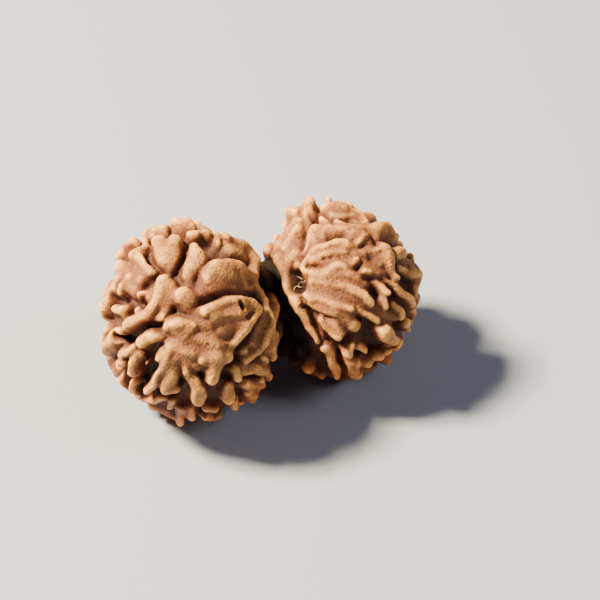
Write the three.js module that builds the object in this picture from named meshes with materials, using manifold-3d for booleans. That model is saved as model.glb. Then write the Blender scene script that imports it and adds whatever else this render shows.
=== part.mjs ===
// A natural twin rudraksha: two stones of one fruit that grew together side by side, as one hard woody
// piece. Each bead is a slightly flattened ball covered all over by knobs that radiate from its pole and
// point away from it. Millimetres, +Z up, lying on the table at z = 0, larger bead towards -X.

import * as THREE from "three";
import { mergeVertices } from "three/addons/utils/BufferGeometryUtils.js";
import Module from "manifold-3d";

// Driving dimensions: for each bead, the floor of the valleys between its knobs is an ellipsoid
const LARGE_CENTRE = [-7.56, 0, 10.2];
const LARGE_RADII = [7.3, 8.5, 8.5];
const SMALL_CENTRE = [8.34, 0, 9.3];
const SMALL_RADII = [6.7, 7.65, 7.65];

// The bridge of stone that joins the two beads, deep in the seam
const BRIDGE_CENTRE = [0.84, 1.2, 9.4];
const BRIDGE_RADII = [2.4, 3.8, 4.2];
const BRIDGE_BLEND = 0.9;

// The knobs and the hollows between them: how softly they run into each other and into the bead, and how
// far their flanks spread
const KNOB_BLEND = 0.12;
const ROOT_BLEND = 0.5;
const HOLLOW_BLEND = 0.3;
const FLANK_SPREAD = 0.22;
const SLIMMEST_KNOB = 0.52;
const SLIMMEST_HOLLOW = 0.3;
const KNOB_REACH = 1.6;

// A slow swell keeps every knob from being quite straight or quite round: [height, length] of its waves
const SWELLS = [[0.16, 3.6], [0.03, 1.5]];

// The worn side that was drawn knob by knob faces this way: turned to the left and looked down upon
const FRONT_TURN = THREE.MathUtils.degToRad(-20.5);
const FRONT_LIFT = THREE.MathUtils.degToRad(42);

// Each pole, where the knobs radiate from, as right, up and out of that front
const LARGE_POLE = [0.74, 0.33, 0.58];
const SMALL_POLE = [-0.44, 0.07, 0.89];

// The direction along which each bead's knobs were drawn, as right, up and out of that front
const LARGE_VIEW = [0.055, 0.011, 1];
const SMALL_VIEW = [-0.019, -0.004, 1];

// Knobs of the larger bead's worn side. Each is a crest through points of [right, up, height, radius],
// seen from the front: right and up of the bead's centre, height over the valley floor
const LARGE_KNOBS = [
  // upper limb from the left
  [[-6.85, 6.55, 1.4, 0.6], [-6.25, 7.45, 1.4, 0.6], [-5.45, 8.1, 1.5, 0.4]],
  [[-3.6, 8.5, 1.35, 0.4], [-4.2, 8.5, 1.4, 0.42], [-4.45, 8.0, 1.4, 0.33], [-4.45, 7.4, 1.2, 0.3]],
  [[-4.6, 8.9, 1.3, 0.5]],
  [[-4.4, 7.2, 1.1, 0.35], [-4.9, 6.8, 1.3, 0.58], [-5.3, 6.55, 1.35, 0.58]],
  [[-4.75, 6.2, 1.15, 0.7], [-4.3, 5.4, 1.0, 0.65], [-3.7, 4.75, 0.85, 0.5]],
  // heart-shaped lobe
  [[-3.0, 7.65, 1.15, 0.9], [-2.2, 6.0, 0.95, 0.95], [-1.85, 4.9, 0.5, 0.65]],
  [[-1.5, 7.65, 1.15, 0.92], [-2.0, 6.0, 0.95, 0.9]],
  // behind it
  [[-3.35, 9.0, 1.6, 0.5], [-2.7, 9.15, 1.6, 0.52]],
  [[-1.25, 9.6, 1.6, 0.6], [-0.2, 9.7, 1.7, 0.62], [0.2, 9.3, 1.4, 0.5]],
  [[0.2, 8.4, 1.3, 0.58], [1.5, 8.6, 1.5, 0.68]],
  [[2.55, 8.4, 1.35, 0.48], [2.6, 7.6, 1.1, 0.45]],
  // broad upper right ridge
  [
    [3.4, 8.1, 1.35, 0.7], [4.65, 7.5, 1.3, 0.8], [5.6, 6.8, 1.25, 0.85], [6.15, 5.9, 1.2, 0.8],
    [6.3, 5.1, 1.1, 0.62], [6.2, 4.3, 1.0, 0.5],
  ],
  [[3.1, 8.65, 1.4, 0.35], [4.1, 8.65, 1.4, 0.35]],
  [[3.65, 7.0, 0.85, 0.8], [5.0, 6.4, 0.85, 0.8]],
  // largest lobe under it
  [
    [1.7, 4.35, 1.2, 0.7], [2.4, 5.05, 1.25, 0.9], [3.6, 5.3, 1.3, 0.95], [4.8, 4.9, 1.15, 0.9],
    [5.7, 4.2, 0.95, 0.7],
  ],
  [[2.2, 4.2, 1.15, 0.6], [3.6, 4.3, 1.15, 0.7], [4.8, 4.1, 0.95, 0.6]],
  [[2.0, 3.15, 0.7, 0.6], [4.0, 3.15, 0.75, 0.6], [5.6, 3.2, 0.7, 0.6]],
  [[6.05, 3.75, 1.0, 0.6], [6.6, 2.9, 0.95, 0.55], [6.9, 2.1, 1.0, 0.55]],
  // cone left of it
  [[0.45, 7.0, 1.3, 0.65], [0.65, 6.2, 1.15, 0.95], [0.35, 5.2, 0.95, 0.95], [-0.1, 4.2, 0.7, 0.7]],
  // plateau right of the middle
  [
    [1.35, 0.95, 1.4, 0.45], [2.5, 1.45, 1.35, 0.5], [3.7, 1.95, 1.3, 0.5], [4.85, 2.0, 1.25, 0.55],
    [5.9, 1.75, 1.2, 0.6],
  ],
  [[2.4, 0.55, 0.85, 0.9], [4.3, 0.85, 0.9, 0.9], [5.3, 1.0, 0.95, 0.6]],
  [[3.05, -0.6, 0.75, 0.9], [4.75, -0.3, 0.85, 0.8]],
  [[1.7, -0.4, 0.7, 0.7], [2.1, -1.15, 0.6, 0.7]],
  [
    [6.4, 1.25, 1.3, 0.5], [5.9, 0.4, 1.35, 0.5], [5.35, -0.55, 1.35, 0.55], [4.75, -1.35, 1.4, 0.5],
    [4.3, -1.9, 1.45, 0.35],
  ],
  // strips towards the seam
  [
    [7.2, 1.8, 1.2, 0.6], [7.35, 0.9, 1.3, 0.8], [7.4, -0.4, 1.3, 0.85], [7.1, -1.7, 1.25, 0.78],
    [6.5, -2.85, 1.1, 0.55],
  ],
  [[8.9, 1.65, 1.4, 0.4], [9.0, 0, 1.4, 0.4], [8.9, -1.3, 1.4, 0.36]],
  [[7.7, 5.4, 1.35, 0.42], [8.05, 4.0, 1.35, 0.42], [8.4, 2.6, 1.4, 0.4]],
  [[6.6, -2.35, 1.1, 0.45], [6.0, -3.2, 1.2, 0.5], [5.45, -3.75, 1.3, 0.42]],
  [[5.8, -2.05, 1.0, 0.4], [5.2, -2.8, 1.0, 0.4]],
  [[7.1, -3.5, 1.3, 0.4], [7.45, -3.9, 1.3, 0.4]],
  [[7.8, -2.75, 1.3, 0.45], [8.2, -3.45, 1.4, 0.45]],
  // lower right
  [[4.85, -4.45, 0.9, 0.6], [6.3, -4.5, 1.1, 0.5], [7.4, -4.8, 1.35, 0.45], [7.95, -5.55, 1.5, 0.4]],
  [[5.35, -6.05, 1.0, 0.6], [6.55, -6.3, 1.3, 0.5], [7.1, -6.35, 1.4, 0.4]],
  [[7.0, -5.7, 1.5, 0.3], [7.3, -6.4, 1.5, 0.3]],
  [[5.9, -6.8, 1.2, 0.5], [6.15, -7.5, 1.4, 0.7]],
  [[4.4, -7.6, 1.0, 0.4], [4.5, -8.4, 1.2, 0.4]],
  [[5.2, -7.85, 1.0, 0.35], [5.25, -8.45, 1.1, 0.35]],
  [[3.7, -6.1, 1.0, 0.6], [3.75, -7.4, 1.3, 0.58]],
  [[4.2, -4.6, 1.1, 0.45], [4.6, -5.4, 1.4, 0.4]],
  // lobed knob low in the middle
  [[2.5, -2.85, 0.7, 0.8], [2.5, -3.8, 1.1, 0.8], [2.3, -4.75, 1.35, 0.62], [2.2, -5.5, 1.55, 0.48]],
  [[1.9, -3.6, 1.2, 0.5], [1.35, -3.7, 1.35, 0.42]],
  [[3.05, -3.4, 1.2, 0.55], [3.65, -3.4, 1.35, 0.45]],
  [[1.2, -1.7, 0.6, 0.9], [2.4, -2.0, 0.6, 0.9], [3.6, -2.2, 0.5, 0.8]],
  [[-1.2, -2.2, 0.7, 0.9], [0.2, -2.8, 0.6, 0.9], [1.3, -2.8, 0.7, 0.6]],
  [[-0.9, -3.3, 0.7, 0.75], [0.7, -4.0, 0.5, 0.8]],
  [[0.1, -5.2, 0.9, 0.6], [0.75, -6.3, 1.2, 0.75], [0.85, -7.1, 1.3, 0.8], [0.75, -7.65, 1.35, 0.68]],
  [[-0.55, -3.85, 0.9, 0.45], [-0.3, -4.9, 1.3, 0.38]],
  // bottom row
  [[-0.85, -8.3, 0.9, 0.5], [-1.0, -9.85, 1.6, 0.46]],
  [[0, -8.2, 0.8, 0.52], [0.1, -9.25, 1.2, 0.52]],
  [[-1.75, -7.6, 1.0, 0.4], [-1.9, -8.4, 1.1, 0.38]],
  [[1.5, -9.25, 1.1, 0.45], [2.2, -9.4, 1.1, 0.45], [2.75, -9.25, 1.1, 0.42]],
  [[1.6, -8.4, 1.0, 0.42], [2.4, -8.5, 1.0, 0.42]],
  // long ridge low left
  [
    [-1.95, -2.4, 1.2, 0.5], [-2.3, -3.45, 1.3, 0.48], [-2.6, -4.5, 1.3, 0.5], [-3.4, -5.6, 1.3, 0.55],
    [-4.2, -6.5, 1.3, 0.6],
  ],
  [[-1.55, -3.6, 0.8, 0.75], [-1.75, -4.75, 0.95, 0.8], [-2.1, -6.1, 1.0, 0.8]],
  [[-1.5, -6.45, 1.1, 0.48]],
  [[-4.65, -7.5, 1.2, 0.35], [-3.45, -7.65, 1.2, 0.4], [-2.65, -7.45, 1.2, 0.35]],
  [[-2.7, -2.9, 1.3, 0.33], [-3.4, -3.75, 1.6, 0.22]],
  [[-4.3, -4.1, 1.0, 0.25], [-4.1, -4.8, 1.0, 0.25]],
  [[-5.0, -5.3, 1.5, 0.25], [-5.45, -6.0, 1.5, 0.27], [-5.75, -6.6, 1.5, 0.27]],
  [[-6.75, -5.6, 1.3, 0.45], [-6.1, -6.5, 1.2, 0.5], [-5.4, -6.8, 1.2, 0.45]],
  [[-4.8, -3.1, 0.9, 0.45], [-5.6, -3.85, 1.3, 0.43], [-5.7, -4.95, 1.4, 0.46]],
  [[-6.95, -4.0, 1.4, 0.4], [-6.5, -3.9, 1.3, 0.4]],
  [[-7.0, -4.6, 1.2, 0.35]],
  [[-5.4, -2.5, 1.2, 0.4], [-6.1, -2.9, 1.3, 0.4], [-6.8, -3.3, 1.4, 0.36]],
  [[-2.5, -1.35, 0.7, 0.5], [-3.6, -1.5, 1.25, 0.66], [-4.75, -1.95, 1.4, 0.58]],
  // left flank
  [[-6.7, -0.7, 1.4, 0.4], [-7.3, -1.4, 1.3, 0.6], [-7.9, -2.4, 1.3, 0.78], [-8.1, -2.75, 1.25, 0.72]],
  [[-6.5, -1.6, 0.8, 0.55], [-7.3, -2.2, 1.1, 0.65]],
  [[-8.2, -0.8, 1.4, 0.3], [-8.3, -1.6, 1.4, 0.3]],
  [
    [-2.55, 3.7, 1.1, 0.78], [-2.95, 2.5, 1.2, 0.72], [-3.35, 1.55, 1.2, 0.62],
    [-4.1, 0.65, 1.25, 0.52], [-5.1, 0.2, 1.35, 0.48], [-6.1, -0.4, 1.5, 0.4],
  ],
  [[-1.75, 3.4, 0.8, 0.6], [-1.8, 2.2, 0.7, 0.65], [-2.3, 1.0, 0.75, 0.6]],
  [[-5.1, 1.15, 1.4, 0.3], [-4.6, 1.7, 1.3, 0.28], [-3.9, 2.4, 1.1, 0.28], [-3.5, 3.05, 0.9, 0.3]],
  [[-5.0, 2.6, 1.3, 0.25], [-4.2, 2.75, 1.0, 0.25]],
  [[-3.25, 0.4, 0.8, 0.28], [-2.7, 0.45, 1.3, 0.3]],
  [[-6.7, 5.5, 1.35, 0.5], [-7.0, 4.3, 1.4, 0.5], [-7.3, 3.15, 1.4, 0.5], [-8.0, 2.15, 1.4, 0.5]],
  [[-6.0, 4.9, 0.6, 0.9], [-5.6, 3.8, 0.6, 0.9], [-5.0, 3.0, 0.5, 0.8]],
  [[-5.0, 5.0, 0.6, 0.7], [-4.4, 4.0, 0.5, 0.8]],
  [[-6.6, 3.5, 1.4, 0.35], [-6.75, 2.75, 1.3, 0.35]],
  [[-5.85, 4.25, 1.3, 0.4]],
  [[-7.15, 1.25, 1.3, 0.5], [-6.4, 1.15, 1.2, 0.62], [-6.0, 0.6, 0.8, 0.5]],
  [[-8.45, 1.55, 1.35, 0.5], [-8.5, 0.4, 1.3, 0.4], [-8.2, -0.3, 1.2, 0.33]],
  // middle
  [[-0.7, 2.5, 1.15, 0.72], [0.2, 2.1, 0.8, 0.68], [0, 1.3, 0.5, 0.7]],
  [[-2.0, -0.3, 1.35, 0.48], [-1.15, -0.1, 1.2, 0.6], [-0.2, -0.3, 1.0, 0.58]],
  [[-1.35, -0.85, 0.95, 0.5], [-0.55, -1.15, 0.7, 0.5]],
  [[0.3, -0.4, 1.4, 0.28]],
  [[0.6, 0.6, 0.3, 0.8], [1.0, -0.4, 0.3, 0.8]],
];

// Knobs of the smaller bead's worn side
const SMALL_KNOBS = [
  // upper limb from the left
  [[-4.75, 7.9, 1.8, 0.68], [-4.2, 8.0, 1.8, 0.72]],
  [[-2.7, 7.8, 1.3, 0.6], [-3.0, 8.85, 2.0, 0.75]],
  [[-2.85, 6.3, 0.9, 0.25], [-3.2, 7.3, 1.4, 0.3], [-3.15, 8.05, 1.75, 0.3]],
  [[-0.95, 8.2, 1.3, 0.82], [0.4, 8.3, 1.3, 0.82]],
  [[-0.5, 7.3, 0.8, 0.6], [0.6, 7.3, 0.8, 0.6]],
  [[-1.0, 9.3, 1.9, 0.35]],
  [[1.4, 8.1, 1.3, 0.35], [2.25, 7.75, 1.3, 0.4], [2.75, 6.9, 1.3, 0.4]],
  [[1.35, 7.55, 1.1, 0.4], [1.9, 7.3, 1.0, 0.4]],
  [[1.6, 6.8, 0.8, 0.35], [2.2, 6.6, 0.9, 0.35]],
  [[-1.75, 7.3, 1.5, 0.33], [-1.1, 6.6, 1.1, 0.4]],
  [[-0.2, 7.05, 1.35, 0.3], [0.5, 6.6, 1.1, 0.35]],
  [[-5.5, 6.9, 1.6, 0.35]],
  [[-6.2, 5.6, 1.6, 0.3], [-6.4, 4.9, 1.6, 0.3]],
  [[-7.2, 4.0, 1.6, 0.5], [-6.9, 3.4, 1.0, 0.5]],
  // smooth ridge with its broad right slope
  [
    [-3.85, 6.85, 1.5, 0.48], [-4.5, 6.4, 1.5, 0.52], [-5.15, 5.5, 1.45, 0.54], [-5.7, 4.6, 1.35, 0.5],
    [-6.4, 3.75, 1.2, 0.38],
  ],
  [[-3.9, 6.1, 1.25, 0.7], [-4.45, 5.25, 1.15, 0.75], [-5.0, 4.3, 1.05, 0.72]],
  [[-4.15, 3.75, 1.0, 0.55], [-4.3, 3.0, 0.9, 0.6], [-5.1, 3.0, 1.0, 0.55]],
  [[-3.7, 2.9, 0.8, 0.4]],
  // broad plate with a sharp left edge
  [[-2.4, 6.5, 1.5, 0.25], [-2.85, 5.4, 1.4, 0.25], [-3.2, 4.4, 1.3, 0.25], [-3.45, 3.9, 1.1, 0.25]],
  [[-2.0, 6.0, 1.05, 0.7], [-2.3, 4.9, 1.0, 0.65]],
  [[-1.1, 6.1, 1.0, 0.65], [-1.5, 5.3, 0.9, 0.65]],
  [[-1.4, 6.3, 1.1, 0.35], [-0.7, 6.2, 1.1, 0.35]],
  [[0.1, 6.6, 1.2, 0.3], [1.0, 6.35, 1.2, 0.38], [2.2, 6.3, 1.25, 0.42], [3.0, 6.15, 1.2, 0.38]],
  [[-0.2, 5.9, 0.95, 0.6], [1.2, 5.75, 0.95, 0.65], [2.3, 5.6, 1.0, 0.6]],
  [[1.2, 5.2, 0.7, 0.6]],
  [[2.85, 5.65, 1.3, 0.3], [2.2, 5.05, 1.2, 0.33], [1.85, 4.6, 1.0, 0.3]],
  [[2.9, 4.75, 0.8, 0.35]],
  // long lobe across the middle
  [
    [-3.4, 2.45, 1.3, 0.28], [-2.95, 3.2, 1.2, 0.35], [-2.45, 3.95, 1.2, 0.48],
    [-1.75, 4.25, 1.25, 0.5], [-1.0, 4.6, 1.35, 0.5], [-0.1, 4.85, 1.4, 0.5], [0.7, 4.75, 1.35, 0.48],
    [1.25, 4.5, 1.1, 0.4],
  ],
  [[-2.25, 3.0, 1.1, 0.6], [-1.0, 3.55, 1.05, 0.65], [0.5, 3.9, 1.0, 0.7]],
  [[-1.5, 2.75, 0.9, 0.5], [-0.2, 3.05, 0.9, 0.5], [1.0, 3.15, 0.9, 0.5]],
  [[1.5, 3.7, 0.8, 0.6], [2.4, 3.6, 0.7, 0.6]],
  // crest under it and the little ridges right of it
  [
    [-3.4, 2.0, 1.25, 0.3], [-2.6, 1.75, 1.25, 0.4], [-1.6, 1.75, 1.3, 0.42], [-0.8, 2.1, 1.35, 0.42],
    [0.1, 2.45, 1.4, 0.4], [0.65, 2.4, 1.3, 0.35],
  ],
  [[-2.2, 1.1, 1.0, 0.6], [-0.6, 1.4, 0.95, 0.65], [0.9, 1.6, 0.85, 0.65], [1.9, 1.3, 0.8, 0.55]],
  [[1.25, 2.6, 1.1, 0.25], [1.8, 3.3, 1.4, 0.25]],
  [[2.1, 2.0, 0.8, 0.3], [2.6, 2.15, 1.3, 0.32], [3.05, 2.0, 1.3, 0.32]],
  // flutes that fan out from the hole
  [
    [-2.65, 0.95, 1.15, 0.5], [-1.3, 0.85, 1.1, 0.5], [0.2, 0.5, 1.15, 0.55], [1.6, 0.15, 1.2, 0.55],
    [2.5, -0.4, 1.35, 0.5], [3.3, -1.0, 1.55, 0.4],
  ],
  [[1.6, 1.0, 0.7, 0.55], [2.5, 0.6, 0.8, 0.5]],
  [[-2.2, 0.1, 0.9, 0.5], [-0.9, 0, 0.75, 0.65], [1.2, -0.6, 0.6, 0.7], [2.5, -1.3, 0.5, 0.6]],
  [
    [-3.1, -0.3, 1.3, 0.33], [-2.6, -0.55, 1.3, 0.36], [-1.6, -0.75, 1.3, 0.36],
    [-0.3, -1.15, 1.35, 0.36], [1.2, -1.85, 1.4, 0.33],
  ],
  [[-2.6, -1.2, 1.1, 0.35], [-1.6, -1.45, 0.95, 0.6], [-0.2, -1.9, 0.95, 0.7], [0.9, -2.5, 0.8, 0.7]],
  [
    [-1.5, -2.8, 1.15, 0.42], [-1.2, -3.6, 1.15, 0.42], [-0.5, -4.2, 1.25, 0.42],
    [-0.05, -4.6, 1.4, 0.4],
  ],
  [[-0.4, -3.2, 0.95, 0.7], [0.2, -3.9, 1.0, 0.5]],
  [[1.2, -2.6, 0.7, 0.55], [1.6, -3.3, 0.95, 0.6]],
  [[1.9, -1.85, 0.9, 0.38], [3.0, -2.35, 1.15, 0.4], [3.9, -2.85, 1.35, 0.36]],
  // right flank
  [[3.9, 6.2, 1.25, 0.85], [4.75, 6.15, 1.3, 0.85]],
  [[3.7, 5.2, 0.9, 0.55], [4.6, 5.2, 0.8, 0.5]],
  [[4.65, 4.8, 0.9, 0.25], [5.4, 5.35, 1.3, 0.28], [6.0, 5.7, 1.55, 0.35], [6.35, 5.2, 1.4, 0.35]],
  [
    [3.3, 3.6, 0.95, 0.3], [4.0, 4.05, 1.25, 0.42], [4.6, 4.15, 1.35, 0.6], [4.8, 3.4, 1.3, 0.6],
    [4.95, 2.7, 1.15, 0.5], [5.4, 1.95, 1.2, 0.38], [5.8, 1.5, 1.4, 0.32],
  ],
  [[3.3, 2.6, 0.85, 0.28], [4.1, 2.6, 0.95, 0.28]],
  [[3.9, 3.2, 0.75, 0.55], [4.5, 3.1, 0.9, 0.5]],
  [[3.4, 1.75, 0.65, 0.5], [4.4, 1.75, 0.7, 0.5]],
  [[5.7, 3.65, 1.2, 0.68], [6.2, 3.9, 1.4, 0.78]],
  [[6.3, 2.8, 0.8, 0.55], [7.0, 2.7, 0.9, 0.5]],
  [[7.45, 3.5, 1.5, 0.36], [7.4, 2.8, 1.3, 0.36]],
  [[5.9, 2.3, 0.9, 0.42], [6.8, 2.0, 0.95, 0.45]],
  [[7.1, 1.95, 1.1, 0.7], [7.65, 1.6, 1.35, 0.82]],
  [[8.0, 0, 1.2, 0.35], [7.9, -0.5, 1.1, 0.33]],
  [[3.5, 0.85, 0.85, 0.36], [4.3, 0.4, 1.2, 0.38], [4.75, -0.1, 1.45, 0.34]],
  [
    [4.5, 1.15, 0.8, 0.4], [5.55, 0.65, 1.15, 0.42], [6.35, 0, 1.3, 0.42], [7.2, -0.75, 1.4, 0.42],
    [7.5, -1.3, 1.3, 0.38],
  ],
  [[4.4, -0.85, 1.1, 0.33], [4.75, -1.6, 1.35, 0.33]],
  [[5.3, -1.2, 1.0, 0.34], [6.05, -2.0, 1.35, 0.45], [6.2, -2.4, 1.4, 0.45]],
  [[3.6, -1.6, 0.6, 0.55], [4.4, -2.2, 0.8, 0.5], [5.4, -2.5, 0.9, 0.45]],
  [[7.5, -2.0, 1.1, 0.36], [7.6, -2.6, 1.0, 0.33]],
  [[6.9, -3.0, 1.3, 0.45], [6.6, -3.4, 1.1, 0.4]],
  [[6.9, -3.9, 1.25, 0.45]],
  [[4.45, -4.1, 1.45, 0.92], [5.3, -4.4, 1.45, 0.75], [5.7, -4.95, 1.4, 0.5]],
  [[6.15, -5.1, 1.4, 0.4], [5.9, -5.6, 1.3, 0.35]],
  [[5.0, -5.35, 1.1, 0.3]],
  // seam side and bottom
  [
    [-5.95, 3.3, 1.15, 0.48], [-5.5, 2.2, 1.25, 0.48], [-5.15, 1.2, 1.35, 0.46], [-4.7, 0.2, 1.35, 0.5],
    [-4.15, -0.85, 1.35, 0.52], [-3.55, -2.0, 1.4, 0.52], [-2.95, -3.2, 1.45, 0.48],
    [-2.4, -4.2, 1.6, 0.43], [-2.1, -4.75, 1.75, 0.33],
  ],
  [[-4.1, -0.1, 0.9, 0.45], [-3.7, -0.9, 0.9, 0.4]],
  [
    [-1.3, -5.5, 1.2, 0.42], [-0.8, -6.1, 1.3, 0.3], [-0.65, -7.0, 1.45, 0.3],
    [-0.25, -7.9, 1.55, 0.36], [0, -8.6, 1.6, 0.36],
  ],
  [[1.45, -5.25, 1.25, 0.33], [1.0, -6.1, 1.25, 0.6], [0.8, -6.4, 1.2, 0.5]],
  [[1.2, -7.1, 1.35, 0.45], [1.35, -7.5, 1.35, 0.42]],
  [[1.95, -7.1, 1.45, 0.4], [1.9, -7.9, 1.4, 0.38]],
  [[1.5, -8.3, 1.5, 0.36], [2.1, -8.5, 1.55, 0.36]],
  [[2.15, -5.45, 1.0, 0.4], [2.85, -6.05, 1.35, 0.33]],
  [[2.5, -6.9, 1.1, 0.45], [2.95, -7.0, 1.25, 0.5]],
  [[3.7, -6.4, 1.1, 0.45], [4.1, -6.6, 1.3, 0.45]],
  [[4.8, -6.2, 1.3, 0.35], [5.3, -5.95, 1.3, 0.3]],
  [[-5.4, -5.2, 0.6, 0.6], [-5.9, -6.3, 1.2, 0.75]],
  [[-3.9, -5.4, 0.3, 0.6], [-4.1, -6.6, 0.9, 0.7]],
  [[-2.8, -6.7, 0.5, 0.7], [-3.0, -7.6, 1.2, 0.75]],
  [[-4.7, -7.2, 0.5, 0.5], [-5.1, -8.1, 1.2, 0.55]],
];

// Hollows between the larger bead's knobs, along [right, up, height, radius] at their bottoms
const LARGE_HOLLOWS = [
  [[-4.05, 6.6, 0.7, 0.25], [-3.55, 5.5, 0.6, 0.25]],
  [[1.1, 7.75, 0.9, 0.2], [1.9, 7.4, 0.8, 0.22]],
  [[-4.2, 1.6, 0.5, 0.3]],
  [[-6.7, 2.05, 0.5, 0.25], [-6.0, 1.85, 0.5, 0.25]],
  [[-7.6, 0.1, 0.5, 0.3], [-7.3, 0.4, 0.5, 0.25]],
  [[-6.2, -1.3, 0.3, 0.4], [-5.6, -1.6, 0.3, 0.4]],
  [[-3.1, -3.6, 0.1, 0.42], [-3.7, -4.5, 0.1, 0.45], [-4.2, -5.1, 0.1, 0.35]],
  [[6.6, 0.7, 0.6, 0.18], [6.25, -0.4, 0.4, 0.22], [5.85, -1.3, 0.4, 0.22], [5.4, -2.2, 0.5, 0.2]],
  [[7.1, 3.65, 0.2, 0.45], [7.3, 2.7, 0.2, 0.5]],
  [[7.05, 5.1, 0.4, 0.25], [7.1, 4.4, 0.4, 0.25]],
  [[-5.0, 8.1, 0.5, 0.22], [-5.0, 7.4, 0.5, 0.22]],
];

// Hollows between the smaller bead's knobs
const SMALL_HOLLOWS = [
  // the dry hole at the pole and the gap that runs down from it
  [[-3.75, 2.0, -0.1, 0.35], [-3.55, 1.2, -0.9, 0.62], [-3.35, 0.25, -0.7, 0.5]],
  [[-2.75, -1.6, 0.1, 0.35], [-2.3, -2.7, -0.1, 0.42], [-1.85, -3.9, -0.1, 0.36]],
  // the seam between the beads
  [
    [-6.6, 3.0, 0.1, 0.3], [-6.2, 1.2, -0.4, 0.45], [-5.6, -0.7, -0.5, 0.6], [-5.1, -2.4, -0.5, 0.7],
    [-4.5, -4.1, -0.4, 0.75], [-3.9, -5.5, -0.1, 0.7],
  ],
  // between the knobs
  [[6.5, 0.75, 0.3, 0.3], [7.2, 0.4, 0.4, 0.28]],
  [[3.15, 6.5, 0.5, 0.25], [3.3, 7.2, 0.2, 0.35]],
  [[5.2, -3.3, 0.3, 0.25], [5.9, -3.9, 0.3, 0.3]],
  [[2.8, -3.1, 0.3, 0.22], [2.95, -4.3, 0.2, 0.3], [3.1, -5.3, 0.2, 0.36]],
  [[0.1, -5.7, 0.1, 0.33], [0.35, -7.2, 0.2, 0.3]],
];

// The knobs of the far side follow a rule: rows round the pole, a row every ROW_STEP, a knob every
// ROW_PITCH along it, none on the seven straight mouth lines that run from pole to pole
const ROW_STEP = 1.85;
const ROW_PITCH = 2.25;
const ROW_SCATTER = 0.5;
const MOUTH_LINES = 7;
const MOUTH_LINE_HALF_WIDTH = 0.45;
const FAR_SIDE_LIMIT = -0.06;
const SEAM = 0.65;
const SEAM_CLEARANCE = 1.3;

// A knob of the far side: how far its root lies back and its crest lies forward, the heights of its
// root, crest and tip, the ranges of its length, radius and lean, and how much slimmer its tip is
const FAR_KNOB = {
  rootBack: 0.5,
  crestForward: 0.3,
  heights: [0.4, 0.9, 1.4],
  length: [1.0, 2.3],
  radius: [0.55, 0.9],
  lean: [-0.75, 0.75],
  tipShare: 0.85,
};
const FORK = { share: 0.34, turn: 1.3, height: 1.3, tipShare: 0.7 };

// Feet: the lowest knob tips, which the seed rests on, by their places on the table. Each reaches a
// share of the way up to its bead's centre
const FOOT_RADIUS = 0.9;
const FOOT_HEIGHT = 0.38;
const FOOT_LENGTH = 0.25;
const LARGE_FEET = [[-10.0, -0.9], [-6.6, 2.5], [-6.3, -2.3]];
const SMALL_FEET = [[7.0, 1.9], [9.8, 0.1], [7.4, -2.1]];

// The facets are laid over the surface by a grid of cells. Distances are evened over a share of a cell,
// which is made up for by some growth. Then the corners are drawn towards and away from the middle of
// their neighbours by turns, so that the facets keep the knobs but no splinters
const CELL = 0.84;
const GRID_LOW = [-18.5, -12.5, -1.3];
const GRID_HIGH = [18.5, 12.5, 22.6];
const EVENING = 0.25;
const MADE_UP = 0.08;
const FAIRING = [0.5, -0.4];
const FAR_AWAY = 3;

const frontOut = new THREE.Vector3(
  Math.sin(FRONT_TURN) * Math.cos(FRONT_LIFT),
  -Math.cos(FRONT_TURN) * Math.cos(FRONT_LIFT),
  Math.sin(FRONT_LIFT),
);
const frontRight = new THREE.Vector3(Math.cos(FRONT_TURN), Math.sin(FRONT_TURN), 0);
const frontUp = new THREE.Vector3().crossVectors(frontOut, frontRight);

// A direction given as right, up and out of the front
function fromFront(right, up, out) {
  return new THREE.Vector3()
    .addScaledVector(frontRight, right)
    .addScaledVector(frontUp, up)
    .addScaledVector(frontOut, out);
}

// The point of a bead seen at (right, up) from its front, at a height over the valley floor;
// a place beyond the bead's rim is drawn back onto the rim
function pointOnFront(bead, right, up, height) {
  const radii = bead.radii.clone().addScalar(height);
  const across = fromFront(right, up, 0).divide(radii);
  const view = fromFront(...bead.view);
  const out = view.clone().divide(radii);
  const a = out.dot(out);
  const b = 2 * across.dot(out);
  const e = across.dot(across);
  const rim = 4 * a * e - b * b;
  const pull = rim > 0 ? Math.min(1, Math.sqrt((4 * a) / rim)) : 1;
  const root = Math.max(0, (pull * b) ** 2 - 4 * a * (pull * pull * e - 1));
  const depth = (Math.sqrt(root) - pull * b) / (2 * a);
  return fromFront(pull * right, pull * up, 0).addScaledVector(view, depth).add(bead.centre);
}

// The point of a bead in a direction from its centre, at a height over the valley floor
function pointTowards(bead, direction, height) {
  const radii = bead.radii.clone().addScalar(height);
  const reach = 1 / direction.clone().divide(radii).length();
  return direction.clone().multiplyScalar(reach).add(bead.centre);
}

// A repeatable draw between 0 and 1, and one between two limits
function draw(seed) {
  const value = Math.sin(seed * 12.9898 + 78.233) * 43758.5453;
  return value - Math.floor(value);
}

function drawBetween([low, high], seed) {
  return low + (high - low) * draw(seed);
}

// One knob or hollow: a line through points of [place, radius]
function knob(bead, points, slimmest = SLIMMEST_KNOB) {
  const places = points.map(([place]) => place);
  const box = new THREE.Box3().setFromPoints(places);
  const widest = Math.max(...points.map(([, radius]) => radius));
  return {
    centre: bead.centre,
    points: points.map(([place, radius]) => ({ place, radius: Math.max(radius, slimmest) })),
    middle: box.getCenter(new THREE.Vector3()),
    reach: box.getSize(new THREE.Vector3()).length() / 2 + widest + KNOB_REACH,
  };
}

function drawnKnobs(bead, rows, slimmest) {
  return rows.map((row) => knob(bead, row.map(
    ([right, up, height, radius]) => [pointOnFront(bead, right, up, height), radius],
  ), slimmest));
}

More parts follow.
